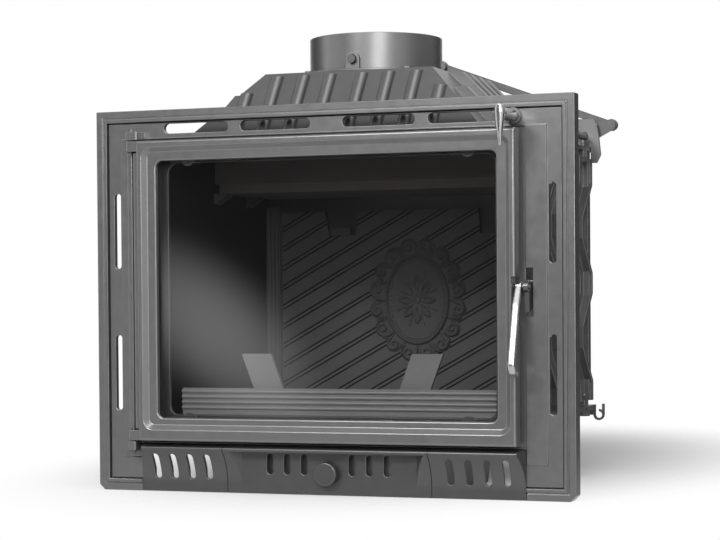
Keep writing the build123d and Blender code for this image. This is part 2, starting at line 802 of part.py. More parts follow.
# ---------------------------------------------------------------- door
def door_frame():
    """Cast frame: moulded rim, flat band, window with a lip, hinge ears, handle notch, seat for the glass."""
    frame = block(-door_half, door_half, door_crest_y, door_back_y, door_low, door_high)
    frame = fillet(frame.edges().group_by(Axis.Y)[0], door_round)
    # sloped pocket with round corners, which leaves the rim standing
    flat_half = window_half + flat_width
    flat_low, flat_high = window_low - flat_below, window_high + flat_width
    angle = math.degrees(math.atan2(slope_width, door_flat_y - door_crest_y))
    face = Pos(0, (flat_low + flat_high) / 2) * RectangleRounded(2 * flat_half, flat_high - flat_low, slope_corner)
    frame -= upright(face, door_crest_y, door_flat_y, taper=-angle)

    window = RectangleRounded(2 * window_half, window_high - window_low, window_radius)
    frame -= upright(Pos(0, window_mid) * window, door_crest_y - 1, door_back_y + 1)
    lip = [edge for edge in frame.edges() if edge.bounding_box().max.Y < door_flat_y + 0.01
           and edge.bounding_box().min.Y > door_flat_y - 0.01 and abs(edge.position_at(0.5).X) < window_half + 0.01
           and abs(edge.position_at(0.5).Z - window_mid) < (window_high - window_low) / 2 + 0.01]
    frame = fillet(lip, lip_round)
    seat = Pos(0, window_mid) * Rectangle(2 * seat_half, window_high - window_low + 2 * glass_overlap)
    frame -= upright(seat, door_flat_y + lip_depth, door_back_y + 1)

    for x, z, way in clip_places():
        frame -= bar_y(clip_screw_radius, x, z + way * clip_screw_rise, door_back_y - clip_screw_bite, door_back_y + 1)

    # hinge edge: an upright bead between two ears
    edge = block(hinge_x + hinge_bead_gap, -door_half, hinge_bead_front, hinge_bead_back,
                 door_low + ear_height + lug_gap, door_high - ear_height - lug_gap)
    frame += fillet(edge.edges().filter_by(Axis.Z).group_by(Axis.X)[0], lug_round - 0.5)
    for z0 in (door_low, door_high - ear_height):
        ear = block(hinge_x - ear_reach, -door_half, ear_front_y, hinge_bead_back + 3, z0, z0 + ear_height)
        frame += fillet(ear.edges().filter_by(Axis.Z).group_by(Axis.X)[0], ear_round)
        frame -= bar_z(pin_radius + pin_play, hinge_x, hinge_y, z0 - 1, z0 + ear_height + 1)

    # notch for the handle and the bearing of its pin
    frame -= block(notch_x, door_half + 1, door_crest_y - 1, door_back_y + 1,
                   handle_z - notch_below, handle_z + notch_above)
    frame -= bar_x(handle_pin_radius + running_play, handle_y, handle_z, seat_half + pin_start - 2, notch_x + 1)
    return frame


def glass_size():
    """Half width, low and high edge of the pane."""
    grow = glass_overlap - glass_play
    return window_half + grow, window_low - grow, window_high + grow


def door_glass():
    """Heat-proof pane."""
    half, low, high = glass_size()
    return block(-half, half, glass_back - glass_thick, glass_back, low, high)


def glass_tape():
    """Flat tape seal between the pane and the frame's lip."""
    half, low, high = glass_size()
    return upright(frame_face(half, low, high, tape_width), glass_back - glass_thick - tape_thick,
                   glass_back - glass_thick)


def clip_places():
    """Middle of each clip's round end, and the way it points: two above the pane and two below."""
    top = window_high + glass_overlap - clip_inset
    low = window_low - glass_overlap + clip_inset
    return [(-clip_x, top, 1), (clip_x, top, 1), (-clip_x, low, -1), (clip_x, low, -1)]


def glass_clips():
    """Round-ended clips that hold the pane, each with its screw hole."""
    clips = []
    for x, z, way in clip_places():
        tail = Pos(x, z + way * clip_length / 2) * Rectangle(2 * clip_radius, clip_length)
        outline = tail + Pos(x, z) * Circle(clip_radius)
        outline -= Pos(x, z + way * (clip_length + clip_radius)) * Rectangle(3 * clip_radius, 2 * clip_radius)
        hole = Pos(x, z + way * clip_screw_rise) * Circle(clip_screw_radius)
        clips.append(upright(outline - hole, door_back_y, door_back_y + clip_thick))
    return Compound(children=clips)


def clip_screws():
    """Pan-head screws of the clips; their shanks end in the frame."""
    screws = []
    for x, z, way in clip_places():
        y0 = door_back_y + clip_thick
        head = bar_y(2 * clip_screw_radius, x, z + way * clip_screw_rise, y0, y0 + clip_screw_head)
        shank = bar_y(clip_screw_radius, x, z + way * clip_screw_rise, door_back_y - clip_screw_bite, y0)
        screws.append(head + shank)
    return Compound(children=screws)


def door_rope():
    """Rope seal between the door's back and the plate."""
    half = notch_x - 0.5
    low, high = door_low + rope_inset, door_high - rope_inset
    return upright(frame_face(half, low, high, rope_width), door_back_y, recess_y - soft_gap)


def hinge_pins():
    """Two short pins with domed heads, fixed in the plate's lugs."""
    head = Cone(pin_head_radius, pin_head_top, pin_head, align=(Align.CENTER, Align.CENTER, Align.MIN))
    top = upper_lug_z + lug_height
    upper = bar_z(pin_radius, hinge_x, hinge_y, door_high - ear_height - pin_bite, top)
    upper += Pos(hinge_x, hinge_y, top) * head
    lower = bar_z(pin_radius, hinge_x, hinge_y, lower_lug_z, door_low + ear_height + pin_bite)
    lower += Pos(hinge_x, hinge_y, lower_lug_z) * Rot(180, 0, 0) * head
    return Compound(children=[upper, lower])


# ---------------------------------------------------------------- handle and latch
def handle_bar():
    """Bent flat bar: hub on the pin, arm leaning out, tip turned back to the door."""
    x0, x1 = handle_x - handle_width / 2, handle_x + handle_width / 2
    hub = bar_x(hub_radius, handle_y, handle_z, x0, x1)
    foot_z = handle_z - handle_drop
    tip = [(handle_y - handle_lean + y, foot_z + z) for y, z in handle_tip]
    path = Polyline((handle_y - 2, handle_z), (handle_y - 0.36 * handle_lean, handle_z - 0.22 * handle_drop), *tip)
    arm = extrude(Plane.YZ.offset(x0) * trace(path, handle_thick), handle_width)
    bar = hub + arm
    return bar - bar_x(handle_pin_radius, handle_y, handle_z, x0 - 1, x1 + 1)


def cam_x():
    """Left and right face of the cam, in the middle of the pocket."""
    middle = recess_right + (pocket_width - pocket_side) / 2
    return middle - cam_thick / 2, middle + cam_thick / 2


def handle_pin():
    """Pin that turns in the door's edge and carries the handle and the cam."""
    return bar_x(handle_pin_radius, handle_y, handle_z, seat_half + pin_start, cam_x()[1] + keeper_play)


def latch_cam():
    """Quadrant plate with a nose that stands up behind the keeper."""
    x0, x1 = cam_x()
    quadrant = make_face([Line((0, 0), (cam_radius, 0)), RadiusArc((cam_radius, 0), (0, -cam_radius), cam_radius),
                          Line((0, -cam_radius), (0, 0))])
    nose = Pos(keeper_reach + keeper_radius + keeper_play + cam_nose / 2, 5.0) * Rectangle(cam_nose, cam_nose_height)
    outline = quadrant + nose + Circle(hub_radius)
    cam = extrude(Plane(origin=(x0, handle_y, handle_z), x_dir=(0, 1, 0), z_dir=(1, 0, 0)) * outline, cam_thick)
    return cam - bar_x(handle_pin_radius, handle_y, handle_z, x0 - 1, x1 + 1)


def latch_keeper():
    """Cross pin between two cheeks on the back of the plate."""
    left, right = recess_right - pocket_side, recess_right + pocket_width
    keeper = bar_x(keeper_radius, keeper_y, keeper_z, left - cheek_thick, right + cheek_thick)
    for a, b in ((left - cheek_thick, left), (right, right + cheek_thick)):
        keeper += block(a, b, field_back, keeper_y + cheek_back, keeper_z - cheek_half, keeper_z + cheek_half)
    return keeper


# ---------------------------------------------------------------- firebox
def fin_path(middle):
    """Side view (Y, Z) of a zigzag fin: upright stretches at the back and front joined by leaning ones."""
    back, front = middle + fin_swing, middle - fin_swing
    points = [(back, floor_z + fin_foot)]
    z = floor_z + fin_foot + fin_straight
    for near, far in ((back, front), (front, back), (back, front), (front, back)):
        points += [(near, z), (far, z + fin_lean)]
        z += fin_lean + fin_straight
    points.append((back, wall_top - lug_wall))
    return points


def side_wall():
    """Right wall: upright zigzag fins, a thick rear edge, and lugs for the bolts above and below."""
    wall = block(wall_in_half, body_half, field_back, back_in, floor_z, wall_top)
    for i in range(fin_count):
        face = trace(Polyline(*fin_path(fin_first + i * fin_pitch)), fin_thick)
        wall += extrude(Plane.YZ.offset(body_half) * face, fin_height)
    wall += block(body_half, body_half + rear_edge_height, back_in - rear_edge, back_in, floor_z + fin_foot, wall_top)
    for y in bolt_places_y:
        for z0 in (floor_z, wall_top - lug_wall):
            wall += block(body_half, flange_half, y - lug_half, y + lug_half, z0, z0 + lug_wall)
            wall -= bar_z(bolt_radius + bolt_play, body_half + bolt_beside, y, z0 - 1, z0 + lug_wall + 1)
    return wall


def back_wall():
    """Back wall with upright ribs; it covers the ends of the side walls."""
    wall = block(-body_half, body_half, back_in, body_back, floor_z, wall_top)
    for i in range(back_rib_count):
        x = (i - (back_rib_count - 1) / 2) * back_rib_pitch
        wall += block(x - back_rib_width / 2, x + back_rib_width / 2, body_back, body_back + back_rib_height,
                      floor_z + back_rib_end, wall_top - back_rib_end)
    return wall


def firebox_floor():
    """Floor casting with a stepped opening for the grate and holes for the bolts."""
    low = floor_z - floor_thick
    floor = block(-flange_half, flange_half, field_back, body_back, low, floor_z)
    wide, front, back = grate_half + grate_play, grate_front - grate_play, grate_back + grate_play
    floor -= block(-wide, wide, front, back, floor_z - grate_seat, floor_z + 1)
    wide, front, back = grate_half - grate_ledge, grate_front + grate_ledge, grate_back - grate_ledge
    floor -= block(-wide, wide, front, back, low - 1, floor_z)
    for x, y in flange_bolt_places:
        floor -= bar_z(bolt_radius + bolt_play, x, y, low - 1, floor_z + 1)
    return floor


def flange_bolts():
    """Bolts through the walls' lugs: four into the hood's flange and four into the floor."""
    bolts = []
    upper = (wall_top - lug_wall, hood_base + nut_height + bolt_end)
    lower = (floor_z - floor_thick, floor_z + lug_wall + nut_height + bolt_end)
    for x, y in flange_bolt_places:
        for low, high in (upper, lower):
            head = hexagon(nut_flats, x, y, low - nut_height, low)
            bolts.append(head + bar_z(bolt_radius, x, y, low, high))
    return Compound(children=bolts)


def flange_nuts():
    """A nut on the upper end of each bolt."""
    nuts = []
    for x, y in flange_bolt_places:
        for z0 in (hood_base, floor_z + lug_wall):
            nut = hexagon(nut_flats, x, y, z0, z0 + nut_height)
            nuts.append(nut - bar_z(bolt_radius, x, y, z0 - 1, z0 + nut_height + 1))
    return Compound(children=nuts)


def side_hooks():
    """Flat bars behind the floor's corners, their outer ends curled down and up again."""
    y0, y1 = body_back, body_back + hook_thick
    high = floor_z - hook_gap
    low = high - hook_width
    middle = (low + high) / 2 - hook_drop
    end = body_half + hook_reach
    curl = Pos(end, middle) * (Circle(hook_curl) - Circle(hook_curl - hook_wall))
    curl -= Pos(end - hook_curl, middle + hook_curl) * Rectangle(2 * hook_curl, 2 * hook_curl)
    hook = upright(curl, y0, y1)
    hook += block(hook_start, end - hook_curl + hook_wall, y0, y1, low, high)
    hook += block(end + hook_curl - hook_wall, end + hook_curl, y0, y1, middle, middle + hook_rise)
    return Compound(children=[hook, mirrored(hook)])


# ---------------------------------------------------------------- hood and flue
def pyramid(shrink):
    """The hood's sloped body, drawn in by a wall thickness."""
    foot_mid = (hood_foot_front + hood_foot_back) / 2
    foot_depth = hood_foot_back - hood_foot_front - 2 * shrink
    top_x, top_y = hood_top_half - shrink, hood_top_depth - shrink
    base = Pos(0, foot_mid, hood_base) * Rectangle(2 * (hood_foot_half - shrink), foot_depth)
    top = Pos(0, flue_y, hood_top - 0.4 * shrink) * Rectangle(2 * top_x, 2 * top_y)
    return loft([base, top])


def front_rib(x, low, high):
    """A round-backed bar on the hood's front slope, level at both ends."""
    run = (flue_y - hood_top_depth - hood_foot_front) / hood_height
    skin = hood_wall / 2
    low_y, high_y = (hood_foot_front + run * (z - hood_base) for z in (low, high))
    points = [(low_y + skin, low), (low_y - hood_rib_depth, low), (high_y - hood_rib_depth, high),
              (high_y + skin, high)]
    rib = sideways(points, x - hood_rib_width / 2, x + hood_rib_width / 2)
    front_edges = rib.edges().filter_by(lambda edge: abs(edge.tangent_at(0.5).Z) > 0.5).sort_by(Axis.Y)[:2]
    return fillet(front_edges, hood_rib_round)


def side_rib(y, low, high):
    """A deep bar on the hood's right slope, level at both ends."""
    run = (hood_foot_half - hood_top_half) / hood_height
    skin = hood_wall / 2
    low_x, high_x = (hood_foot_half - run * (z - hood_base) for z in (low, high))
    points = [(low_x - skin, low), (low_x + side_rib_depth, low), (high_x + side_rib_depth, high),
              (high_x - skin, high)]
    return upright(make_face(Polyline(*points, close=True)), y - side_rib_width / 2, y + side_rib_width / 2)


def hood():
    """Shell of four slopes with a flange below, a flat top for the collar, and cast ribs."""
    shell = block(-flange_half, flange_half, field_back, body_back, wall_top, hood_base)
    shell += pyramid(0)
    start = hood_base + hood_rib_start
    short = hood_top - hood_short_stop
    for i in range(hood_rib_count):
        stop = short if i == hood_rib_count - 1 else hood_top - hood_rib_stop
        for side in (-1, 1):
            shell += front_rib(side * (hood_rib_first + i * hood_rib_pitch), start, stop)
    for offsets, stop in ((side_rib_offsets, hood_top - side_rib_stop), (side_short_offsets, short)):
        for offset in offsets:
            rib = side_rib(flue_y + offset, start, stop)
            shell += rib
            shell += mirrored(rib)
    shell -= pyramid(hood_wall)
    shell -= block(-hood_foot_half + hood_wall, hood_foot_half - hood_wall, hood_foot_front + hood_wall,
                   hood_foot_back - hood_wall, wall_top - 1, hood_base + 0.01)
    shell -= bar_z(throat_radius, 0, flue_y, hood_base, hood_top + 1)
    for x, y in flange_bolt_places:
        shell -= bar_z(bolt_radius + bolt_play, x, y, wall_top - 1, hood_base + 1)
    for x, y in collar_bolt_places:
        shell -= bar_z(collar_bolt_radius, x, y, hood_top - collar_bolt_bite, hood_top + 1)
    return shell - bar_z(bracket_bolt_radius, *bracket_bolt_place, wall_top - 1, hood_base + 1)


def flue_collar():
    """Round collar with a flange, a seat with a stop for the pipe, and bosses for the damper's spindle."""
    collar = bar_z(collar_outer, 0, flue_y, hood_top, collar_top)
    collar += bar_z(collar_flange_radius, 0, flue_y, hood_top, hood_top + collar_flange)
    boss_end = collar_outer + boss_reach
    boss_half = spindle_radius + boss_wall
    for a, b in ((flue_y - boss_end, flue_y - pipe_radius), (flue_y + pipe_radius, flue_y + boss_end)):
        collar += bar_y(boss_half, 0, spindle_z, a, b)
        collar += block(-boss_half, boss_half, a, b, hood_top + collar_flange - 1, spindle_z)
    collar -= bar_z(throat_radius, 0, flue_y, hood_top - 1, collar_top + 1)
    collar -= bar_z(pipe_radius, 0, flue_y, pipe_stop_z, collar_top + 1)
    collar -= bar_y(spindle_radius + running_play, 0, spindle_z, 0, body_back)
    for x, y in collar_bolt_places:
        collar -= bar_z(collar_bolt_radius, x, y, hood_top - 1, hood_top + collar_flange + 1)
    return collar


def collar_bolts():
    """Bolts through the collar's flange into the hood."""
    bolts = []
    top = hood_top + collar_flange
    for x, y in collar_bolt_places:
        shank = bar_z(collar_bolt_radius, x, y, hood_top - collar_bolt_bite, top)
        bolts.append(hexagon(collar_bolt_flats, x, y, top, top + collar_bolt_head) + shank)
    return Compound(children=bolts)


# ---------------------------------------------------------------- damper and linkage
def crank(x, z, bore):
    """Crank arm fixed on a shaft's end, with its pin pointing back."""
    hub, tip = Circle(crank_hub), Pos(throw_x, throw_z) * Circle(crank_tip)
    arm = upright(Pos(x, z) * make_hull((hub + tip).edges()), linkage_y - crank_thick, linkage_y)
    arm -= bar_y(bore, x, z, linkage_y - crank_thick - 1, linkage_y + 1)
    pin_end = linkage_y + rod_thick + 3 * side_play + crank_pin_end
    return arm + bar_y(crank_pin_radius, x + throw_x, z + throw_z, linkage_y - 1, pin_end)


def damper_spindle():
    """Round spindle right through the collar, with its crank's seat behind."""
    return bar_y(spindle_radius, 0, spindle_z, spindle_front_y, linkage_y + 1)


def damper_blade():
    """Disc that closes the flue when level, with a raised strap that the spindle runs through."""
    blade = bar_z(blade_radius, 0, flue_y, spindle_z - blade_thick / 2, spindle_z + blade_thick / 2)
    reach = blade_radius - strap_inset
    strap = block(-strap_half, strap_half, flue_y - reach, flue_y + reach,
                  spindle_z - strap_rise, spindle_z + strap_rise)
    blade += fillet(strap.edges().filter_by(Axis.Y), strap_round)
    return blade - bar_y(spindle_radius, 0, spindle_z, 0, body_back)


def damper_lever():
    """Tapered horn, round above and drawn to a point below, with a hub for the shaft."""
    half, shoulder = horn_width / 2, horn_rise - horn_shoulder
    face = make_face([
        Line((-half, 0), (-horn_point, -horn_drop)),
        RadiusArc((-horn_point, -horn_drop), (horn_point, -horn_drop), -horn_point),
        Line((horn_point, -horn_drop), (half, 0)),
        Line((half, 0), (half, shoulder)),
        RadiusArc((half, shoulder), (-half, shoulder), -horn_crown),
        Line((-half, shoulder), (-half, 0)),
    ])
    horn_back = lever_y + horn_depth
    horn = upright(Pos(shaft_x, shaft_z) * face, lever_y, horn_back)
    horn = fillet(horn.edges().group_by(Axis.Y)[0], horn_round)
    stem = Cone(stem_front_radius, stem_back_radius, bush_front_y - side_play - horn_back,
                align=(Align.CENTER, Align.CENTER, Align.MIN))
    lever = horn + Pos(shaft_x, horn_back, shaft_z) * Rot(-90, 0, 0) * stem
    return lever - bar_y(shaft_radius, shaft_x, shaft_z, lever_y + shaft_bite, 0)


def lever_shaft():
    """Shaft from the horn at the front to the crank at the back."""
    return bar_y(shaft_radius, shaft_x, shaft_z, lever_y + shaft_bite, linkage_y + 1)


def lever_bush():
    """Collar bush in the front plate that the shaft turns in."""
    bush = bar_y(bush_radius, shaft_x, shaft_z, bush_front_y, plate_field_y)
    bush += bar_y(shaft_hole_radius, shaft_x, shaft_z, plate_field_y, field_back + bush_past)
    return bush - bar_y(shaft_radius + running_play, shaft_x, shaft_z, bush_front_y - 1, field_back + bush_past + 1)


def shaft_bracket():
    """Plate that carries the rear end of the shaft, with a foot on the hood's flange."""
    left, right = shaft_x - bracket_inner, shaft_x + bracket_outer
    low, high = wall_top - bracket_below, shaft_z + bracket_above
    beside = flange_half + 0.5
    points = [(left, hood_base), (beside, hood_base), (beside, low), (right - 6, low), (right, low + 12),
              (right - 3, shaft_z), (right - 6, high - 10), (right - 12, high), (left + 8, high), (left, high - 9)]
    plate = upright(make_face(Polyline(*points, close=True)), bracket_front, bracket_back)
    foot_top = hood_base + bracket_thick
    plate += block(left, flange_half, bracket_front - bracket_foot, bracket_front, hood_base, foot_top)
    plate -= bar_y(shaft_radius + running_play, shaft_x, shaft_z, bracket_front - 1, bracket_back + 1)
    return plate - bar_z(bracket_bolt_radius, *bracket_bolt_place, hood_base - 1, foot_top + 1)


def bracket_bolt():
    """Bolt of the shaft's bracket."""
    top = hood_base + bracket_thick
    head = hexagon(bracket_bolt_flats, *bracket_bolt_place, top, top + bracket_bolt_head)
    return head + bar_z(bracket_bolt_radius, *bracket_bolt_place, wall_top, top)


def link_rod():
    """Round rod between the two crank pins, with a flat eye at each end."""
    low = (shaft_x + throw_x, shaft_z + throw_z)
    high = (throw_x, spindle_z + throw_z)
    y0 = linkage_y + side_play
    y1 = y0 + rod_thick
    eyes = Pos(*low) * Circle(rod_eye_radius) + Pos(*high) * Circle(rod_eye_radius)
    rod = upright(eyes, y0, y1)
    start = Vector(low[0], (y0 + y1) / 2, low[1])
    end = Vector(high[0], (y0 + y1) / 2, high[1])
    along = (end - start).normalized()
    plane = Plane(origin=start + along * (rod_eye_radius - 2), z_dir=along)
    length = (end - start).length - 2 * (rod_eye_radius - 2)
    shank = extrude(plane * Circle(rod_radius), length)
    clear = block(high[0], low[0], linkage_y - rod_radius, y0 - 0.2, low[1] - 20, high[1] + 20)
    rod += shank - clear
    rod -= bar_y(crank_pin_radius + running_play, *low, y0 - 1, y1 + 1)
    rod -= bar_y(crank_pin_radius + open_play, *high, y0 - 1, y1 + 1)
    return rod


def link_washer(x, z):
    """Washer that keeps the rod on a crank pin."""
    y0 = linkage_y + rod_thick + 2 * side_play
    washer = bar_y(crank_pin_radius + washer_reach, x + throw_x, z + throw_z, y0, y0 + washer_thick)
    return washer - bar_y(crank_pin_radius, x + throw_x, z + throw_z, y0 - 1, y0 + washer_thick + 1)


# ---------------------------------------------------------------- ash box and grate
def ash_box():
    """Box under the floor with a leaning rear wall, open in front for the drawer and above for the grate."""
    top = floor_z - floor_thick
    lean = (box_back - box_back_low) / top
    outline = [(field_back, 0), (box_back_low, 0), (box_back, top), (field_back, top)]
    inner_back = box_back_low - box_wall + lean * box_wall
    inside = [(field_back - 1, box_wall), (inner_back, box_wall), (box_back - box_wall + lean, top + 1),
              (field_back - 1, top + 1)]
    box = sideways(outline, -box_half, box_half) - sideways(inside, -box_half + box_wall, box_half - box_wall)
    for side in (-1, 1):
        a, b = sorted((side * (pan_half - runner_inset - runner_width), side * (pan_half - runner_inset)))
        box += block(a, b, rim_depth + 1, pan_back, box_wall, pan_low)
    return box


def grate():
    """Lift-out grate with two rows of long bars."""
    low, high = floor_z - grate_seat, floor_z + grate_rise
    plate = block(-grate_half, grate_half, grate_front, grate_back, low, high)
    pitch = (2 * grate_half - 2 * grate_rim) / grate_bar_count
    middle = (grate_front + grate_back) / 2
    for i in range(grate_bar_count):
        x = -grate_half + grate_rim + (i + 0.5) * pitch
        half = (pitch - grate_bar) / 2
        for y0, y1 in ((grate_front + grate_rim, middle - grate_rim / 2), (middle + grate_rim / 2, grate_back - grate_rim)):
            plate -= block(x - half, x + half, y0, y1, low - 1, high + 1)
    return plate


# ---------------------------------------------------------------- inside the firebox
def side_liner():
    """Smooth plate inside the right wall."""
    return block(liner_half, wall_in_half, field_back, back_liner_y, floor_z, wall_top - liner_drop)


def back_plate():
    """Back plate with hanger notches and pairs of slanting grooves."""
    y0, y1 = back_liner_y, back_liner_y + back_liner_thick
    half = liner_half - post_width
    plate = block(-half, half, y0, y1, floor_z, back_liner_top)
    slope = math.tan(math.radians(groove_angle))
    climb = 2 * half * slope
    count = int((back_liner_top - floor_z + climb) / groove_step) + 1
    for i in range(count):
        for offset in (0.0, groove_pair):
            z0 = floor_z - climb + i * groove_step + offset
            line = Polyline((-half - 2, z0 - 2 * slope), (half + 2, z0 + climb + 2 * slope))
            plate -= upright(trace(line, groove_width), y0 - 1, y0 + groove_depth)
    top, deep = back_liner_top + 1, back_liner_top - notch_drop
    for side in (-1, 1):
        notch = [(side * hanger_x - side * x, z) for x, z in (
            (-notch_half, top), (-notch_narrow_out, deep), (notch_narrow_in, deep), (notch_half, top))]
        plate -= upright(make_face(Polyline(*notch, close=True)), y0 - 1, y1 + 1)
    return plate


def plate_hangers():
    """Two blocks on the back wall that the back plate hangs on."""
    z0 = back_liner_top - hanger_drop
    hanger = block(hanger_x - hanger_half, hanger_x + hanger_half, back_liner_y - hanger_front, back_in,
                   z0, z0 + hanger_height)
    return Compound(children=[hanger, mirrored(hanger)])


def corner_posts():
    """Fluted posts in the firebox's rear corners."""
    top = back_liner_top + post_above
    front = back_liner_y - post_front
    post = block(liner_half - post_width, liner_half, front, back_in, floor_z, top)
    for i in range(flute_count):
        post -= bar_z(flute_radius, liner_half - post_width + flute_first + i * flute_pitch, front,
                      floor_z - 1, top + 1)
    return Compound(children=[post, mirrored(post)])


def medallion():
    """Oval medallion: scalloped border, raised oval ring, a rosette of round petals in the middle."""
    back = back_liner_y
    centre = Pos(0, floor_z + medal_rise)
    outline = Ellipse(medal_half_width + medal_border, medal_half_height + medal_border)
    for i in range(scroll_count):
        angle = 2 * math.pi * (i + 0.5) / scroll_count
        x = (medal_half_width + scroll_reach_x) * math.cos(angle)
        z = (medal_half_height + scroll_reach_z) * math.sin(angle)
        outline += Pos(x, z) * Circle(scroll_radius)
    medal = upright(centre * outline, back - medal_plate_rise, back)
    ring = Ellipse(medal_half_width + medal_ring / 2, medal_half_height + medal_ring / 2)
    ring -= Ellipse(medal_half_width - medal_ring / 2, medal_half_height - medal_ring / 2)
    medal += upright(centre * ring, back - medal_ring_rise, back - medal_plate_rise)
    petals = Circle(rose_radius)
    for i in range(petal_count):
        angle = 2 * math.pi * i / petal_count
        petals += Pos(petal_reach_x * math.cos(angle), petal_reach_z * math.sin(angle)) * Circle(petal_radius)
    return medal + upright(centre * petals, back - medal_rose_rise, back - medal_plate_rise)


def baffle_pegs():
    """Tapered pegs on the side liners that carry the two baffle plates."""
    tip = liner_half - peg_reach
    outline = Polyline((liner_half, peg_top), (tip, peg_top), (tip, peg_top - peg_tip),
                       (liner_half, peg_top - peg_height), close=True)
    pegs = []
    for y in (baffle_front + peg_front, back_in - peg_from_back):
        peg = upright(make_face(outline), y, y + peg_depth)
        pegs += [peg, mirrored(peg)]
    return Compound(children=pegs)


def baffle_lower():
    """Lower smoke baffle lying on the pegs, its front edge turned up."""
    front, back, top = baffle_front + lower_baffle_set, back_in - baffle_back_gap, peg_top + baffle_thick
    edge = [(front + y, top + z) for y, z in lower_baffle_edge]
    return sideways([(front, peg_top), (back, peg_top), (back, top)] + edge, -baffle_half, baffle_half)


def baffle_upper():
    """Upper smoke baffle standing on the lower one, with a deep front lip."""
    low, back = peg_top + upper_baffle_rise, back_in - 5 * baffle_back_gap
    lip = [(baffle_front + y, low + z) for y, z in upper_baffle_lip]
    rear = low + upper_baffle_back
    return sideways(lip + [(back, rear), (back, rear + baffle_thick)], -baffle_half, baffle_half)


def log_guard():
    """Low bar across the firebox's mouth with round ribs along its front."""
    guard = block(-guard_half, guard_half, guard_y + 3, guard_y + guard_thick, floor_z, guard_top)
    for i in range(guard_rib_count):
        z = guard_top - guard_rib_first - i * guard_rib_pitch
        guard += bar_x(guard_rib_radius, guard_y + 3, z, -guard_half, guard_half)
    return guard


def log_support():
    """Right-hand leaning plate that keeps logs off the glass."""
    x0, x1 = support_inner, support_inner + support_width
    points = [(x0, floor_z), (x1, floor_z), (x1 + support_lean, support_top), (x0 + support_lean, support_top)]
    return upright(make_face(Polyline(*points, close=True)), support_y, support_y + support_thick)


# ---------------------------------------------------------------- write every piece
os.makedirs("parts", exist_ok=True)

pieces = {
    "front_plate": front_plate(),
    "louvre_panel_right": louvre_panel(),
    "louvre_panel_left": mirrored(louvre_panel()),
    "louvre_bolts": louvre_bolts(),
    "drawer_front": drawer_front(),
    "air_shutter": air_shutter(),
    "air_knob": air_knob(),
    "ash_pan": ash_pan(),
    "door_frame": door_frame(),
    "door_glass": door_glass(),
    "glass_tape": glass_tape(),
    "glass_clips": glass_clips(),
    "clip_screws": clip_screws(),
    "door_rope": door_rope(),
    "hinge_pins": hinge_pins(),
    "handle_bar": handle_bar(),
    "handle_pin": handle_pin(),
    "latch_cam": latch_cam(),
    "latch_keeper": latch_keeper(),
    "side_wall_right": side_wall(),
    "side_wall_left": mirrored(side_wall()),
    "back_wall": back_wall(),
    "firebox_floor": firebox_floor(),
    "flange_bolts": flange_bolts(),
    "flange_nuts": flange_nuts(),
    "side_hooks": side_hooks(),
    "hood": hood(),
    "flue_collar": flue_collar(),
    "collar_bolts": collar_bolts(),
    "damper_spindle": damper_spindle(),
    "damper_blade": damper_blade(),
    "spindle_crank": crank(0, spindle_z, spindle_radius),
    "damper_lever": damper_lever(),
    "lever_shaft": lever_shaft(),
    "lever_bush": lever_bush(),
    "shaft_crank": crank(shaft_x, shaft_z, shaft_radius),
    "shaft_bracket": shaft_bracket(),
    "bracket_bolt": bracket_bolt(),
    "link_rod": link_rod(),
    "shaft_link_washer": link_washer(shaft_x, shaft_z),
    "spindle_link_washer": link_washer(0, spindle_z),
    "ash_box": ash_box(),
    "grate": grate(),
    "side_liner_right": side_liner(),
    "side_liner_left": mirrored(side_liner()),
    "back_plate": back_plate(),
    "plate_hangers": plate_hangers(),
    "corner_posts": corner_posts(),
    "medallion": medallion(),
    "baffle_pegs": baffle_pegs(),
    "baffle_lower": baffle_lower(),
    "baffle_upper": baffle_upper(),
    "log_guard": log_guard(),
    "log_support_right": log_support(),
    "log_support_left": mirrored(log_support()),
}

for node, shape in pieces.items():
    save(shape, node)
print(len(pieces), "pieces written")
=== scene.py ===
"""Looks of a cast-iron fireplace insert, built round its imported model.

Metres.  X runs to the right, Y to the back, Z up, and the origin lies on the floor under the flue.
"""
import json
import math

import bmesh
import bpy
import numpy as np
from mathutils import Matrix, Vector


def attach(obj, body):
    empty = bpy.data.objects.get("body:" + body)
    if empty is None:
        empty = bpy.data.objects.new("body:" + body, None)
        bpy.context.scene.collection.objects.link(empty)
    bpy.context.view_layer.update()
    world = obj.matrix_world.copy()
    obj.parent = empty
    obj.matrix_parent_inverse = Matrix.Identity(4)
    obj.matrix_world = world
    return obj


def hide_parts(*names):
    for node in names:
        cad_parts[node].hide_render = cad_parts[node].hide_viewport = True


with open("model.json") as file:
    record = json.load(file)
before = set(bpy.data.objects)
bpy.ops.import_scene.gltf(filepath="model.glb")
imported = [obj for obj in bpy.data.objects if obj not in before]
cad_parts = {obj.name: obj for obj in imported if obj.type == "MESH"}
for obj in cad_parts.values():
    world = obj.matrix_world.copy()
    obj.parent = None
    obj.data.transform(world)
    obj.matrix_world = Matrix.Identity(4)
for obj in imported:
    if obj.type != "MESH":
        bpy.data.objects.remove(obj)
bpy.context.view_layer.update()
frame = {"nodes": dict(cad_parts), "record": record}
bodies = frame["record"]["behaviour"]["bodies"]

# ---------------------------------------------------------------- the photographer's place
# A long lens looks at the insert from its front right, a little below the middle of the door.  The picture
# is cropped from a larger one, so the lens axis passes below its centre.
camera_place = (1.0319, -2.8645, 0.2673)
camera_yaw = 0.354596        # radians
camera_pitch = -0.020423
camera_roll = -0.007444
focal_length = 104.0         # millimetres, as is the film's width
film_width = 36.0
picture_width = 720          # pixels
axis_below_centre = 73


def put(name, data):
    """A new object in the scene, for a camera, a lamp or a mesh."""
    made = bpy.data.objects.new(name, data)
    bpy.context.scene.collection.objects.link(made)
    return made


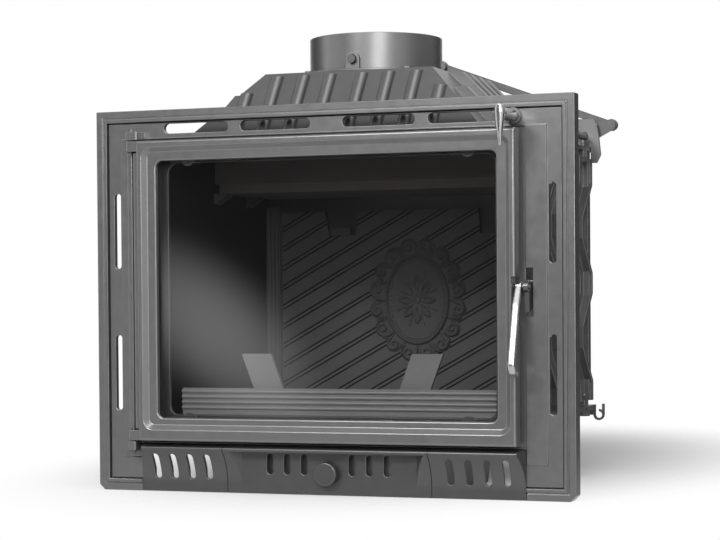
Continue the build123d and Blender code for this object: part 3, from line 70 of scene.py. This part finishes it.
camera_data = bpy.data.cameras.new("camera")
camera_data.lens = focal_length
camera_data.sensor_width = film_width
camera_data.shift_y = axis_below_centre / picture_width
camera = put("camera", camera_data)
aim = Matrix.Translation(camera_place) @ Matrix.Rotation(camera_yaw, 4, "Z")
aim = aim @ Matrix.Rotation(math.pi / 2 + camera_pitch, 4, "X")
camera.matrix_world = aim @ Matrix.Rotation(camera_roll, 4, "Z")
bpy.context.scene.camera = camera

# ---------------------------------------------------------------- side walls, back wall and floor
# The firebox is bolted together from rough grey castings.  Sand leaves a fine grain on them, and zigzag
# fins on the side walls carry heat into the room's air.
grain_size = 0.0011          # grains of sand
swell_size = 0.035           # unevenness of the mould
mottle_size = 0.012          # patches of gloss
dark_share = 0.86            # darkest and lightest patches, as shares of the tone
light_share = 1.14
grain_gloss = 0.12           # changes of roughness from grain to grain and from patch to patch
mottle_gloss = 0.10
swell_height = 2.5           # times as high as the grain
# Colour and edge width of the near-black painted shade in recesses.
painted_shade_tone = 0.012
painted_shade_edge = 0.0004
wall_round = 0.0008
same_point = 5e-6            # points closer than this are one


class Wire:
    """A node's output.  Sums and products of wires and numbers add Math nodes to the same material."""

    def __init__(self, socket):
        self.socket = socket

    def node(self, kind, settings, sockets, output=0):
        """Adds a node: its settings first, then the value or wire of each socket; gives back one output."""
        made = self.socket.id_data.nodes.new("ShaderNode" + kind)
        for name, value in settings.items():
            setattr(made, name, value)
        for name, value in sockets.items():
            if isinstance(value, Wire):
                self.socket.id_data.links.new(value.socket, made.inputs[name])
            else:
                made.inputs[name].default_value = value
        return Wire(made.outputs[output]) if made.outputs else None

    def join(self, operation, first, second):
        return self.node("Math", {"operation": operation}, {0: first, 1: second})

    def __add__(self, other):
        return self.join("ADD", self, other)

    def __sub__(self, other):
        return self.join("SUBTRACT", self, other)

    def __rsub__(self, other):
        return self.join("SUBTRACT", other, self)

    def __mul__(self, other):
        return self.join("MULTIPLY", self, other)

    __radd__ = __add__
    __rmul__ = __mul__


def new_finish(name):
    """An empty material and the wire of its place in the object, in metres."""
    material = bpy.data.materials.new(name)
    material.use_nodes = True
    material.node_tree.nodes.clear()
    coordinates = material.node_tree.nodes.new("ShaderNodeTexCoord")
    return material, Wire(coordinates.outputs["Object"])


def noise(place, size, detail=2.0):
    """Soft noise from 0 to 1 whose lumps are about this many metres across."""
    return place.node("TexNoise", {}, {"Vector": place, "Scale": 1 / size, "Detail": detail,
                                       "Roughness": 0.6})


def between(place, factor, first, second):
    """The colour between two as factor goes from 0 to 1.  Each is a wire, a grey or three numbers."""
    ends = [tone if isinstance(tone, Wire) else (*(np.ones(3) * tone), 1.0) for tone in (first, second)]
    return place.node("Mix", {"data_type": "RGBA"}, {0: factor, 6: ends[0], 7: ends[1]}, 2)


def surface(place, sockets):
    """The material's shader and output."""
    shader = place.node("BsdfPrincipled", {}, sockets)
    place.node("OutputMaterial", {}, {"Surface": shader})


def cast_iron(name, tone, metallic, roughness, grain_depth, painted_shade_from=None):
    """Painted or bare cast iron: sand grain, soft unevenness from the mould, and slightly mottled gloss.
    Behind a given depth along Y its colour turns near-black: painted shade in grooves and recesses."""
    material, place = new_finish(name)
    grain = noise(place, grain_size, detail=3.0)
    swell = noise(place, swell_size)
    mottle = noise(place, mottle_size, detail=4.0)
    tone = np.ones(3) * tone
    colour = between(place, 0.5 * mottle + 0.5 * swell, dark_share * tone, light_share * tone)
    # Painted shade: behind the given depth along Y the colour turns near-black.
    if painted_shade_from:
        deep = place.node("SeparateXYZ", {}, {0: place}, 1)
        painted_shade_mask = deep.node("MapRange", {}, {"Value": deep, "From Min": painted_shade_from,
                                           "From Max": painted_shade_from + painted_shade_edge})
        colour = between(place, painted_shade_mask, colour, painted_shade_tone)
    bumps = place.node("Bump", {}, {"Strength": 1.0, "Distance": grain_depth,
                                    "Height": grain + swell_height * swell})
    roughness = roughness + grain_gloss * (grain - 0.5) + mottle_gloss * (mottle - 0.5)
    surface(place, {"Base Color": colour, "Metallic": metallic, "Normal": bumps, "Roughness": roughness})
    return material


def dress(material, *names):
    """Gives CAD nodes a finish."""
    for name in names:
        mesh = frame["nodes"][name].data
        mesh.materials.clear()
        mesh.materials.append(material)


def body_of(node):
    """The CAD body that a node belongs to."""
    return next(body for body, members in bodies.items() if node in members)


def rounded(node, radius, material, clamp=False, crease=32):
    """A casting with soft edges that stands for a node: the node's own shape with every edge sharper than the
    crease, in degrees, rolled over at this radius, and shaded by its large faces.  Clamp stops the rolls
    where they would meet."""
    shell = bmesh.new()
    shell.from_mesh(frame["nodes"][node].data)
    bmesh.ops.remove_doubles(shell, verts=shell.verts, dist=same_point)
    mesh = bpy.data.meshes.new(node + "_casting")
    shell.to_mesh(mesh)
    shell.free()
    mesh.shade_smooth()
    mesh.set_sharp_from_angle(angle=math.radians(crease))
    mesh.materials.clear()
    mesh.materials.append(material)
    casting = put(node + "_casting", mesh)
    if radius:
        roll = casting.modifiers.new("rolled edges", "BEVEL")
        roll.width = radius
        roll.segments = 2
        roll.limit_method = "ANGLE"
        roll.angle_limit = math.radians(crease)
        roll.use_clamp_overlap = clamp
        roll.loop_slide = False
        roll.miter_outer = "MITER_SHARP"
        roll.face_strength_mode = "FSTR_ALL"
    shade = casting.modifiers.new("even shading", "WEIGHTED_NORMAL")
    shade.use_face_influence = bool(radius)
    shade.keep_sharp = True
    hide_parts(node)
    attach(casting, body_of(node))


grey_iron = cast_iron("grey_iron", tone=0.18, metallic=0.70, roughness=0.36, grain_depth=0.00006)
for wall in ("side_wall_right", "side_wall_left"):
    rounded(wall, wall_round, grey_iron)
dress(grey_iron, "back_wall", "firebox_floor", "side_hooks")

# ---------------------------------------------------------------- liners and plates in the fire
# Loose cast plates protect the walls.  They are bare and darker than the outside, with a dry, matt skin.
# The side liners and the grooves between the back plate's ridges are painted near-black: painted shade.
# The back plate's colour is painted near-black behind groove_front: painted shade in its grooves.
groove_front = 0.1825        # the back plate is black behind this
inner_grain = 0.00009

inner_iron = cast_iron("inner_iron", tone=0.19, metallic=0.2, roughness=0.52, grain_depth=inner_grain)
dress(inner_iron, "plate_hangers", "corner_posts", "baffle_pegs", "grate", "damper_blade")
plate_iron = cast_iron("plate_iron", tone=0.22, metallic=0.2, roughness=0.52, grain_depth=inner_grain,
                       painted_shade_from=groove_front)
dress(plate_iron, "back_plate")
# Near-black iron.  On the side liners this near-black is painted shade on the firebox's walls.
near_black_iron = cast_iron("near_black_iron", tone=0.014, metallic=0.0, roughness=0.75, grain_depth=inner_grain)
dress(near_black_iron, "side_liner_right", "side_liner_left")
baffle_iron = cast_iron("baffle_iron", tone=(0.30, 0.26, 0.25), metallic=0.1, roughness=0.6,
                        grain_depth=inner_grain)
dress(baffle_iron, "baffle_lower", "baffle_upper")

# ---------------------------------------------------------------- medallion
# A cast oval relief stands in the middle of the back plate: a ring and a flower in a border of scrolls and
# leaves.  Every form has a round back, so that it leaves the sand cleanly.
medal_middle = (0.0, 0.268)  # X and Z
medal_foot = 0.182           # Y from which the relief rises
sheet_half_width = 0.0885
sheet_half_height = 0.0985
sheet_step = 0.00065
sunk = 0.0004                # its border goes this far behind
oval_half = np.array((0.050, 0.067))
base_margin = 0.010          # flat base, beyond the oval
base_height = 0.0024
ring_steps = 900
ring_width = 0.0028
ring_height = 0.0078
bead_count = 72              # beads inside the ring
bead_inside = 0.0058
bead_width = 0.0019
bead_height = 0.0044
scroll_count = 16
scroll_steps = 110
scroll_outside = 0.0165      # a scroll's middle, outside the oval
scroll_reach = 0.0108
scroll_shrink = 0.80         # share of its reach that it loses
scroll_start = 1.2           # radians, as is its whole turn
scroll_turn = 8.2
scroll_width = 0.0029
scroll_taper = 0.0012
scroll_height = 0.0058
scroll_climb = 0.0014
pad_width = 0.0132           # low pad under a scroll
pad_height = 0.0030
leaf_steps = 50
leaf_outside = 0.004
leaf_length = 0.0195
leaf_bend = 0.005
leaf_spread = 0.0042
leaf_arch = 3.1              # radians that its side ribs run through, out and in again
leaf_width = 0.0021
leaf_taper = 0.45
leaf_height = 0.0062
leaf_edge_fall = 0.0014
petal_count = 8
petal_steps = 60
petal_start = 0.007
petal_length = 0.021
petal_spread = 0.0046
petal_arch = 2.9             # radians, as is where it starts
petal_open = 0.15
petal_width = 0.0036
petal_taper = 0.35
petal_height = 0.0052
petal_climb = 0.0010
flower_stretch = 1.25        # the flower is taller than wide
stalk_steps = 30             # thin stalks between the petals
stalk_turn = 0.393
stalk_start = 0.010
stalk_length = 0.024
stalk_width = 0.0016
stalk_height = 0.0040
heart_width = 0.0078
heart_height = 0.0070
seed_count = 8
seed_reach = 0.0052
seed_width = 0.0021
seed_height = 0.0074

sheet_x = np.arange(-sheet_half_width, sheet_half_width + 0.0001, sheet_step)
sheet_z = np.arange(-sheet_half_height, sheet_half_height + 0.0001, sheet_step)


def circle(count):
    """This many angles, at equal steps round the circle."""
    return np.linspace(0, 2 * np.pi, count, endpoint=False)


def dome(height, spot, width, top):
    """Lifts the sheet to top sqrt(1 - d^2 / width^2), where d is the distance to the spot and below width."""
    near_x = np.abs(sheet_x - spot[0]) < width
    near_z = np.abs(sheet_z - spot[1]) < width
    window = np.ix_(near_z, near_x)
    away_x = (sheet_x[near_x] - spot[0])[None, :]
    away_z = (sheet_z[near_z] - spot[1])[:, None]
    apart = (away_x ** 2 + away_z ** 2) / width ** 2
    lifted = np.where(apart < 1, top * np.sqrt(np.clip(1 - apart, 0, None)), -sunk)
    height[window] = np.maximum(height[window], lifted)


def beside_oval(angle, outside):
    """The place (a cos t, b sin t) + outside n, for the oval's half axes a and b, and the outward normal n,
    which is (cos t / a, sin t / b) at unit length."""
    around = np.array((math.cos(angle), math.sin(angle)))
    normal = around / oval_half
    length = np.linalg.norm(normal)
    return oval_half * around + outside * normal / length, normal / length


def scroll(height, angle, hand):
    """A spiral c - n r cos u + s r sin u, where u grows and r falls in a line with t.  It starts at the ring
    and winds in to a bud, on a low round pad."""
    middle, out = beside_oval(angle, scroll_outside)
    along = np.array((-out[1], out[0])) * hand
    dome(height, middle, pad_width, pad_height)
    for t in np.linspace(0, 1, scroll_steps):
        turned = scroll_start + scroll_turn * t
        far = scroll_reach * (1 - scroll_shrink * t)
        spot = middle - out * far * math.cos(turned) + along * far * math.sin(turned)
        dome(height, spot, scroll_width - scroll_taper * t, scroll_height + scroll_climb * t)


def leaf(height, angle, hand):
    """Three ribs foot + n l t + s (b t^2 + k w sin a t) for k = -1, 0 and 1: a leaf bent to one side."""
    foot, out = beside_oval(angle, leaf_outside)
    along = np.array((-out[1], out[0])) * hand
    for t in np.linspace(0, 1, leaf_steps):
        for rib in (-1, 0, 1):
            sideways = leaf_bend * t * t + rib * leaf_spread * math.sin(leaf_arch * t)
            spot = foot + out * leaf_length * t + along * sideways
            dome(height, spot, leaf_width * (1 - leaf_taper * t), leaf_height - leaf_edge_fall * abs(rib))


def petal(height, angle):
    """Two ribs v (s + l t) + k w sin(a t + o), for k = -1 and 1 across the ray v, and a straight stalk on the
    ray between this petal and the next."""
    ray = np.array((math.cos(angle), flower_stretch * math.sin(angle)))
    across = np.array((-math.sin(angle), math.cos(angle)))
    for t in np.linspace(0, 1, petal_steps):
        for side in (-1, 1):
            sideways = across * side * petal_spread * math.sin(petal_arch * t + petal_open)
            spot = ray * (petal_start + petal_length * t) + sideways
            dome(height, spot, petal_width * (1 - petal_taper * t), petal_height + petal_climb * t)
    ray = np.array((math.cos(angle + stalk_turn), flower_stretch * math.sin(angle + stalk_turn)))
    for t in np.linspace(0, 1, stalk_steps):
        dome(height, ray * (stalk_start + stalk_length * t), stalk_width, stalk_height)


def relief_sheet():
    """The sheet's height over its grid of X and Z: a flat base inside a wider oval, or the highest dome where
    one stands."""
    across, up = oval_half + base_margin
    inside = (sheet_x[None, :] / across) ** 2 + (sheet_z[:, None] / up) ** 2 < 1
    height = np.where(inside, base_height, -sunk)
    for angle in circle(ring_steps):
        dome(height, beside_oval(angle, 0.0)[0], ring_width, ring_height)
    for angle in circle(bead_count):
        dome(height, beside_oval(angle, -bead_inside)[0], bead_width, bead_height)
    for i in range(scroll_count):
        hand = 1 if i % 2 else -1
        leaf(height, 2 * np.pi * i / scroll_count, hand)
        scroll(height, 2 * np.pi * (i + 0.5) / scroll_count, hand)
    for angle in circle(petal_count):
        petal(height, angle)
    dome(height, (0.0, 0.0), heart_width, heart_height)
    for angle in circle(seed_count):
        dome(height, (seed_reach * math.cos(angle), seed_reach * math.sin(angle)), seed_width, seed_height)
    return height


def mesh_of(name, points, faces, material):
    """A mesh of points and faces in one material."""
    mesh = bpy.data.meshes.new(name)
    mesh.from_pydata(points, [], faces)
    mesh.materials.append(material)
    return mesh


height = relief_sheet()
grid_x, grid_z = np.meshgrid(sheet_x, sheet_z)
points = np.stack([medal_middle[0] + grid_x, medal_foot - height, medal_middle[1] + grid_z], axis=-1)
column, row = np.meshgrid(np.arange(len(sheet_x) - 1), np.arange(len(sheet_z) - 1))
corner = (row * len(sheet_x) + column).ravel()
squares = np.stack([corner, corner + 1, corner + 1 + len(sheet_x), corner + len(sheet_x)], axis=-1)
squares = squares[(height.ravel()[squares] > 0).any(axis=1)]
kept, squares = np.unique(squares, return_inverse=True)
relief_mesh = mesh_of("medallion_relief", points.reshape(-1, 3)[kept], squares.reshape(-1, 4), inner_iron)
relief_mesh.shade_smooth()
relief = put("medallion_relief", relief_mesh)
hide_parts("medallion")
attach(relief, "firebox")

# ---------------------------------------------------------------- log guard and log supports
# A low ribbed bar across the mouth and two leaning plates keep logs off the glass.  They are bare castings,
# rubbed brighter than the rest.
guard_round = 0.0004

support_iron = cast_iron("support_iron", tone=0.42, metallic=0.3, roughness=0.42, grain_depth=0.00006)
rounded("log_guard", guard_round, support_iron, clamp=True)
dress(support_iron, "log_support_right", "log_support_left")

# ---------------------------------------------------------------- ash box and pan
# The box under the floor is cast, like the walls.  The pan in it, which catches the ash, is folded from
# rolled sheet steel.
cloud_dark = 0.85            # darkest and lightest clouds, as shares of the tone
cloud_light = 1.1
streak_size = 0.002
cloud_size = 0.03
streak_depth = 0.00004
streak_gloss = 0.15
cloud_gloss = 0.1


def rolled_steel(name, tone, roughness, streak):
    """Bare steel with fine streaks from rolling or grinding.  Streak is the pattern's scale along X, Y and Z,
    and a small one makes them long that way."""
    material, place = new_finish(name)
    drawn = place.node("Mapping", {"vector_type": "POINT"}, {"Vector": place, "Scale": streak})
    lines = noise(drawn, streak_size, detail=3.0)
    cloud = noise(place, cloud_size)
    colour = between(place, cloud, cloud_dark * tone, cloud_light * tone)
    bumps = place.node("Bump", {}, {"Strength": 0.6, "Distance": streak_depth, "Height": lines})
    roughness = roughness + streak_gloss * (lines - 0.5) + cloud_gloss * (cloud - 0.5)
    surface(place, {"Base Color": colour, "Metallic": 1.0, "Normal": bumps, "Roughness": roughness})
    return material


dress(grey_iron, "ash_box")
dress(rolled_steel("sheet_steel", tone=0.36, roughness=0.38, streak=(0.1, 1.0, 1.0)), "ash_pan")

# ---------------------------------------------------------------- hood and flue collar
# A four-sided casting with round-backed ribs closes the firebox, and the collar on top takes the pipe.  Both
# are grey castings, and bolts hold them down by their flanges.
hood_round = 0.0010

# The hood's iron is the grey iron made darker: painted shade on the hood.
shaded_hood_iron = cast_iron("shaded_hood_iron", tone=0.13, metallic=0.70, roughness=0.36, grain_depth=0.00006)
rounded("hood", hood_round, shaded_hood_iron, clamp=True)
rounded("flue_collar", hood_round, grey_iron)

# ---------------------------------------------------------------- bolts and nuts
# Zinc-plated steel, dulled by handling.  They clamp the castings together, and hold the bottom panels and the
# clips of the glass.
zinc = rolled_steel("zinc", tone=0.24, roughness=0.38, streak=(1.0, 1.0, 1.0))
dress(zinc, "flange_bolts", "flange_nuts", "collar_bolts", "bracket_bolt", "louvre_bolts", "clip_screws")

# ---------------------------------------------------------------- damper, its shafts and its lever
# Turned shafts and flat cranks join the polished horn at the front to the disc in the flue.  The horn is
# forged: it tapers to a round tip below, and a conical stem carries it on the shaft.
bracket_round = 0.0008
lever_x = 0.266              # the shaft's axis
lever_z = 0.510
horn_y = -0.269              # the horn's middle
horn_low = -0.043            # from the axis down to the tip, and up to the crown
horn_high = 0.011
tip_half = 0.0018            # half widths and half thicknesses, growing in a line up to the axis
crown_half = 0.00725
tip_thick = 0.0030
crown_thick = 0.0058
tip_round = 0.0025
thin_half = 0.004            # the horn thins out where it is narrower than this
stem_front = -0.268
stem_length = 0.0565
stem_thin = 0.0070           # radius behind the horn, and by how much it grows up to the bush
stem_growth = 0.0020
ring_points = 48             # points round each ring of the horn, the stem and the handle
horn_rings = 61
stem_rings = 8
least_share = 1e-3           # a closing end stops here, short of a point
least_thick = 0.2

dark_steel = cast_iron("dark_steel", tone=0.13, metallic=0.8, roughness=0.34, grain_depth=0.00003)
dress(dark_steel, "damper_spindle", "spindle_crank", "spindle_link_washer", "link_rod", "shaft_crank",
      "shaft_link_washer", "lever_shaft")
rounded("shaft_bracket", bracket_round, grey_iron)
rounded("lever_bush", bracket_round, grey_iron)
polished = rolled_steel("polished_steel", tone=0.46, roughness=0.26, streak=(1.0, 1.0, 0.2))


def skin(rings, after=0):
    """The closed skin over rings[i, j], which follow each other along the piece: a quad joins each two points
    of a ring to the same two of the next, and a fan from its middle closes each end.  The faces count their
    points from after on."""
    count, around = rings.shape[:2]
    points = np.concatenate([rings.reshape(-1, 3), rings[:1].mean(axis=1), rings[-1:].mean(axis=1)])
    row, one = np.meshgrid(np.arange(count - 1), np.arange(around), indexing="ij")
    here, beside = row * around + one, row * around + (one + 1) % around
    sides = np.stack([here, beside, beside + around, here + around], axis=-1).reshape(-1, 4)
    one = np.arange(around)
    start = np.stack([np.full(around, len(points) - 2), (one + 1) % around, one], axis=-1)
    end = np.stack([np.full(around, len(points) - 1), one, (one + 1) % around], axis=-1)
    end[:, 1:] += (count - 1) * around
    return points, (sides + after).tolist() + (start + after).tolist() + (end + after).tolist()


def ground_steel(name, node, first, second):
    """A piece with two skins of polished steel, standing for a node."""
    points, faces = skin(first)
    more_points, more_faces = skin(second, len(points))
    mesh = mesh_of(name, np.concatenate([points, more_points]), faces + more_faces, polished)
    shell = bmesh.new()
    shell.from_mesh(mesh)
    bmesh.ops.recalc_face_normals(shell, faces=shell.faces)
    shell.to_mesh(mesh)
    shell.free()
    mesh.shade_smooth()
    piece = put(name, mesh)
    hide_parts(node)
    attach(piece, body_of(node))


# The horn's half width is a line from the tip to the axis, times (1 - (z / top)^3)^(1/3) above the axis,
# which makes the round crown, and sqrt(1 - d^2) on the last stretch to the tip.  Neither falls quite to
# nothing.
turn = circle(ring_points)[None, :]
rise = horn_low + (horn_high - horn_low) * (1 - np.cos(np.linspace(0, np.pi, horn_rings))) / 2
to_crown = np.clip(1 - np.clip(rise / horn_high, 0, 1) ** 3, least_share, 1) ** (1 / 3)
in_tip = np.clip(horn_low + tip_round - rise, 0, None) / tip_round
to_tip = np.clip(1 - in_tip ** 2, least_share, 1) ** 0.5
half = np.interp(rise, (horn_low, 0.0), (tip_half, crown_half)) * to_crown * to_tip
thick = np.interp(rise, (horn_low, 0.0), (tip_thick, crown_thick)) * np.clip(half / thin_half, least_thick, 1)
horn = np.stack([lever_x + half[:, None] * np.cos(turn), horn_y + thick[:, None] * np.sin(turn),
                 lever_z + rise[:, None] + 0 * turn], axis=-1)
# The stem is a cone about the axis: its radius grows in a line.
along = np.linspace(0, 1, stem_rings)[:, None]
radius = stem_thin + stem_growth * along
stem = np.stack([lever_x + radius * np.cos(turn), stem_front + stem_length * along + 0 * turn,
                 lever_z + radius * np.sin(turn)], axis=-1)
ground_steel("horn", "damper_lever", horn, stem)

# ---------------------------------------------------------------- front plate
# One wide casting carries everything at the front.  It has a smooth satin grey coat, as has the frame of the
# door, which hangs on its two pins.
plate_round = 0.0008
small_round = 0.0004
coat_grain = 0.00004

coat_iron = cast_iron("coat_iron", tone=0.21, metallic=0.75, roughness=0.33, grain_depth=coat_grain)
rounded("front_plate", plate_round, coat_iron)
rounded("latch_keeper", small_round, dark_steel)
rounded("hinge_pins", small_round, dark_steel)

# ---------------------------------------------------------------- bottom panels
# Two louvre panels are bolted on.  The one between them is the ash drawer's front, with its air knob.  Their
# flat facets meet at low angles, and stay crisp.
facet_crease = 7             # degrees

# The panels' iron is the front plate's coat made darker: painted shade on the bottom panels and the air knob.
shaded_panel_iron = cast_iron("shaded_panel_iron", tone=0.11, metallic=0.70, roughness=0.34, grain_depth=coat_grain)
for panel in ("louvre_panel_right", "louvre_panel_left", "drawer_front"):
    rounded(panel, 0.0, shaded_panel_iron, crease=facet_crease)
rounded("air_knob", 0.0, shaded_panel_iron)
dress(near_black_iron, "air_shutter")

# ---------------------------------------------------------------- door
# A cast frame holds a glass-ceramic pane on a flat tape, kept by clips and screws.  It seals on a braided
# rope of mineral fibre.
door_round = 0.0011
braid_size = 0.0018
braid_depth = 0.0006
smear_size = 0.06

rounded("door_frame", door_round, coat_iron)
rounded("glass_clips", small_round, zinc)

rope_fibre, place = new_finish("rope_fibre")
braid = noise(place, braid_size, detail=4.0)
braid_bumps = place.node("Bump", {}, {"Strength": 1.0, "Distance": braid_depth, "Height": braid})
surface(place, {"Base Color": between(place, braid, 0.05, 0.22), "Roughness": 0.9, "Normal": braid_bumps})
dress(rope_fibre, "door_rope", "glass_tape")

ceramic_glass, place = new_finish("ceramic_glass")
smear = noise(place, smear_size)
surface(place, {"Base Color": between(place, smear, 0.008, 0.014), "Alpha": 0.24, "Roughness": 0.02,
                "IOR": 1.9, "Specular IOR Level": 0.9})
dress(ceramic_glass, "door_glass")

# ---------------------------------------------------------------- handle and latch
# A bent flat bar with a ground face turns a pin that carries the latch cam.  A short drum at the bar's head
# goes over the pin.
bar_x = 0.276
bends = np.array([(-0.2200, 0.2840), (-0.2317, 0.2594), (-0.2560, 0.1800), (-0.2510, 0.1720),
                  (-0.2360, 0.1680)])
bend_steps = 160
bend_softness = 14           # times that the bar's line is averaged
bar_half_width = 0.0050
bar_half_thick = 0.0040
side_power = 0.6             # below 1, these square the section off
face_power = 0.7
bar_tip = 0.004              # length over which the tip closes
hub_y = -0.218
hub_z = 0.284
hub_radius = 0.0060
hub_rings = 24

# The bar's middle line runs through the bends in Y and Z, softened.  Its section (|cos t|^0.6, |sin t|^0.7)
# is a rounded oblong, times sqrt(1 - d^2) over the tip.
reach = np.concatenate([[0], np.cumsum(np.linalg.norm(np.diff(bends, axis=0), axis=1))])
places = np.linspace(0, reach[-1], bend_steps)
line = np.stack([np.interp(places, reach, bends[:, k]) for k in (0, 1)], axis=-1)
for _ in range(bend_softness):
    line[1:-1] = (line[:-2] + 2 * line[1:-1] + line[2:]) / 4
way = np.gradient(line, axis=0)
way /= np.linalg.norm(way, axis=1)[:, None]
in_tip = np.clip(places - reach[-1] + bar_tip, 0, None) / bar_tip
close = np.clip(1 - in_tip ** 2, least_share, 1)[:, None] ** 0.5
side = np.sign(np.cos(turn)) * np.abs(np.cos(turn)) ** side_power * bar_half_width * close
face = np.sign(np.sin(turn)) * np.abs(np.sin(turn)) ** face_power * bar_half_thick * close
bar = np.stack([bar_x + side, line[:, :1] - face * way[:, 1:], line[:, 1:] + face * way[:, :1]], axis=-1)
# The hub is a drum about X with soft rims: its radius goes with (1 - u^6)^(1/4).
across = np.sin(np.linspace(-np.pi / 2, np.pi / 2, hub_rings))[:, None]
radius = hub_radius * np.clip(1 - across ** 6, least_share, 1) ** (1 / 4)
hub = np.stack([bar_x + bar_half_width * across + 0 * turn, hub_y + radius * np.cos(turn),
                hub_z + radius * np.sin(turn)], axis=-1)
ground_steel("handle", "handle_bar", bar, hub)
dress(dark_steel, "handle_pin", "latch_cam")

# ---------------------------------------------------------------- floor
# A pale grey floor takes the shadow.  It fades into the white background round an oval, whose middle lies
# behind the insert, where the shadow falls.  The floor's grey inside the oval is painted shadow, over the
# lamps' own shadow.
floor_radius = 4.0
floor_rings = 8
floor_spokes = 64
floor_tone = (0.75, 0.75, 0.75, 1.0)
shadow_oval_place = (-0.06, 0.45, 0.0)
shadow_oval_size = (0.62, 1.05, 1.0)
fade_start = 0.3             # shares of the oval's size
fade_end = 1.05


def studio_disc(rings, spokes):
    """A flat disc: x = r cos t and y = r sin t, for r from 0 to its radius and t round the circle."""
    r, t = np.meshgrid(np.linspace(0, floor_radius, rings), circle(spokes))
    points = np.stack([r * np.cos(t), r * np.sin(t), np.zeros_like(r)], axis=-1).reshape(-1, 3)
    spoke, ring = np.meshgrid(np.arange(spokes), np.arange(rings - 1), indexing="ij")
    near, far = spoke * rings + ring, (spoke + 1) % spokes * rings + ring
    return points, np.stack([near, near + 1, far + 1, far], axis=-1).reshape(-1, 4)


floor_paint, place = new_finish("floor_paint")
oval = place.node("Mapping", {"vector_type": "TEXTURE"},
                  {"Vector": place, "Location": shadow_oval_place, "Scale": shadow_oval_size})
from_middle = oval.node("VectorMath", {"operation": "LENGTH"}, {0: oval}, 1)
fade = oval.node("MapRange", {"interpolation_type": "SMOOTHSTEP"},
                 {"Value": from_middle, "From Min": fade_start, "From Max": fade_end})
pale = place.node("BsdfDiffuse", {}, {"Color": floor_tone})
clear = place.node("BsdfTransparent", {}, {})
place.node("OutputMaterial", {}, {"Surface": place.node("MixShader", {}, {0: fade, 1: pale, 2: clear})})
floor = put("floor", mesh_of("floor", *studio_disc(floor_rings, floor_spokes), floor_paint))

# ---------------------------------------------------------------- room and lamps
# The room is white to the camera, in reflections and through glass, and dim as a light.  Soft lamps hang high
# in front and above, with a weak strip at the left.
white = (1.0, 1.0, 1.0, 1.0)
room_level = 0.25
lamp_target = (0.0, 0.0, 0.3)

world = bpy.data.worlds.new("studio")
bpy.context.scene.world = world
world.use_nodes = True
world.node_tree.nodes.clear()
ray = world.node_tree.nodes.new("ShaderNodeLightPath")
seen = [Wire(ray.outputs[kind]) for kind in ("Is Camera Ray", "Is Glossy Ray", "Is Transmission Ray")]
seen = seen[0] + seen[1] + seen[2]
seen = seen.node("Clamp", {}, {"Value": seen})
room = seen.node("Background", {}, {"Color": white, "Strength": room_level})
backdrop = seen.node("Background", {}, {"Color": white, "Strength": 1.0})
seen.node("OutputWorld", {}, {"Surface": seen.node("MixShader", {}, {0: seen, 1: room, 2: backdrop})})


def softbox(name, place, width, height, watts):
    """A rectangular lamp at a place, facing the middle of the insert."""
    data = bpy.data.lights.new(name, "AREA")
    data.shape = "RECTANGLE"
    data.size = width
    data.size_y = height
    data.energy = watts
    lamp = put(name, data)
    lamp.location = place
    lamp.rotation_euler = (Vector(lamp_target) - Vector(place)).to_track_quat("-Z", "Y").to_euler()


softbox("key", (-0.7, -3.1, 2.0), width=1.0, height=0.7, watts=60)
softbox("fill", (1.3, -3.0, 1.3), width=1.2, height=1.2, watts=46)
softbox("left_strip", (-2.4, -0.6, 0.8), width=0.5, height=1.6, watts=6)
softbox("top", (0.7, -0.8, 2.5), width=1.6, height=1.2, watts=18)

# ---------------------------------------------------------------- sheets that only reflections see
# Dark sheets stand behind the camera, at both sides, behind and above, as black cards do in a studio, with a
# dim one high at the right.  In front, at the left, is a soft slanting glow.
dark = 0.02
dim = 0.40
glow_level = 1.8
glow_slant = (0.0, 0.675, 0.0)
glow_size = (0.42, 1.0, 0.20)


def sheet(name, middle, width, height, level, lean=0.0, turned=0.0, cover=None):
    """A flat sheet that glows at this level.  It leans back from upright and is turned about Z, in radians.
    Cover gives the share of it that is there at a place."""
    mesh = bpy.data.meshes.new(name)
    corners = [(-width / 2, 0, -height / 2), (width / 2, 0, -height / 2), (width / 2, 0, height / 2),
               (-width / 2, 0, height / 2)]
    mesh.from_pydata(corners, [], [(0, 1, 2, 3)])
    material, place = new_finish(name)
    lit = place.node("Emission", {}, {"Color": white, "Strength": level})
    through = place.node("BsdfTransparent", {}, {})
    there = place.node("LightPath", {}, {}, "Is Glossy Ray")
    if cover:
        there = there * cover(place)
    place.node("OutputMaterial", {}, {"Surface": place.node("MixShader", {}, {0: there, 1: through, 2: lit})})
    mesh.materials.append(material)
    card = put(name, mesh)
    card.location = middle
    card.rotation_euler = (lean, 0.0, turned)


def glow_cover(place):
    """All of it in the middle of a slanting oval, and nothing at its edge."""
    slanting = place.node("Mapping", {"vector_type": "TEXTURE"},
                          {"Vector": place, "Rotation": glow_slant, "Scale": glow_size})
    far = slanting.node("VectorMath", {"operation": "LENGTH"}, {0: slanting}, 1)
    return far.node("MapRange", {"interpolation_type": "SMOOTHERSTEP"},
                    {"Value": far, "From Min": 0.0, "From Max": 1.0, "To Min": 1.0, "To Max": 0.0})


sheet("dark_wall", (-1.2, -3.6, 0.7), width=4.2, height=2.2, level=dark)
sheet("dark_side", (2.1, 1.1, 0.2), width=3.4, height=1.0, level=dark, turned=1.7)
sheet("dim_side", (2.1, 1.1, 1.4), width=3.4, height=1.4, level=dim, turned=1.7)
sheet("dark_back", (1.5, 2.7, 0.7), width=2.2, height=2.0, level=dark)
sheet("dark_left", (-2.9, 0.6, 0.9), width=3.6, height=2.4, level=dark, turned=1.45)
sheet("dark_ceiling", (-0.5, 0.9, 2.7), width=2.6, height=2.4, level=dark, lean=math.pi / 2)
sheet("glow", (-0.97, -2.0, 0.20), width=1.2, height=1.0, level=glow_level, cover=glow_cover)

# ---------------------------------------------------------------- picture
# Colours are shown as they are written.
bpy.context.scene.view_settings.view_transform = "Standard"
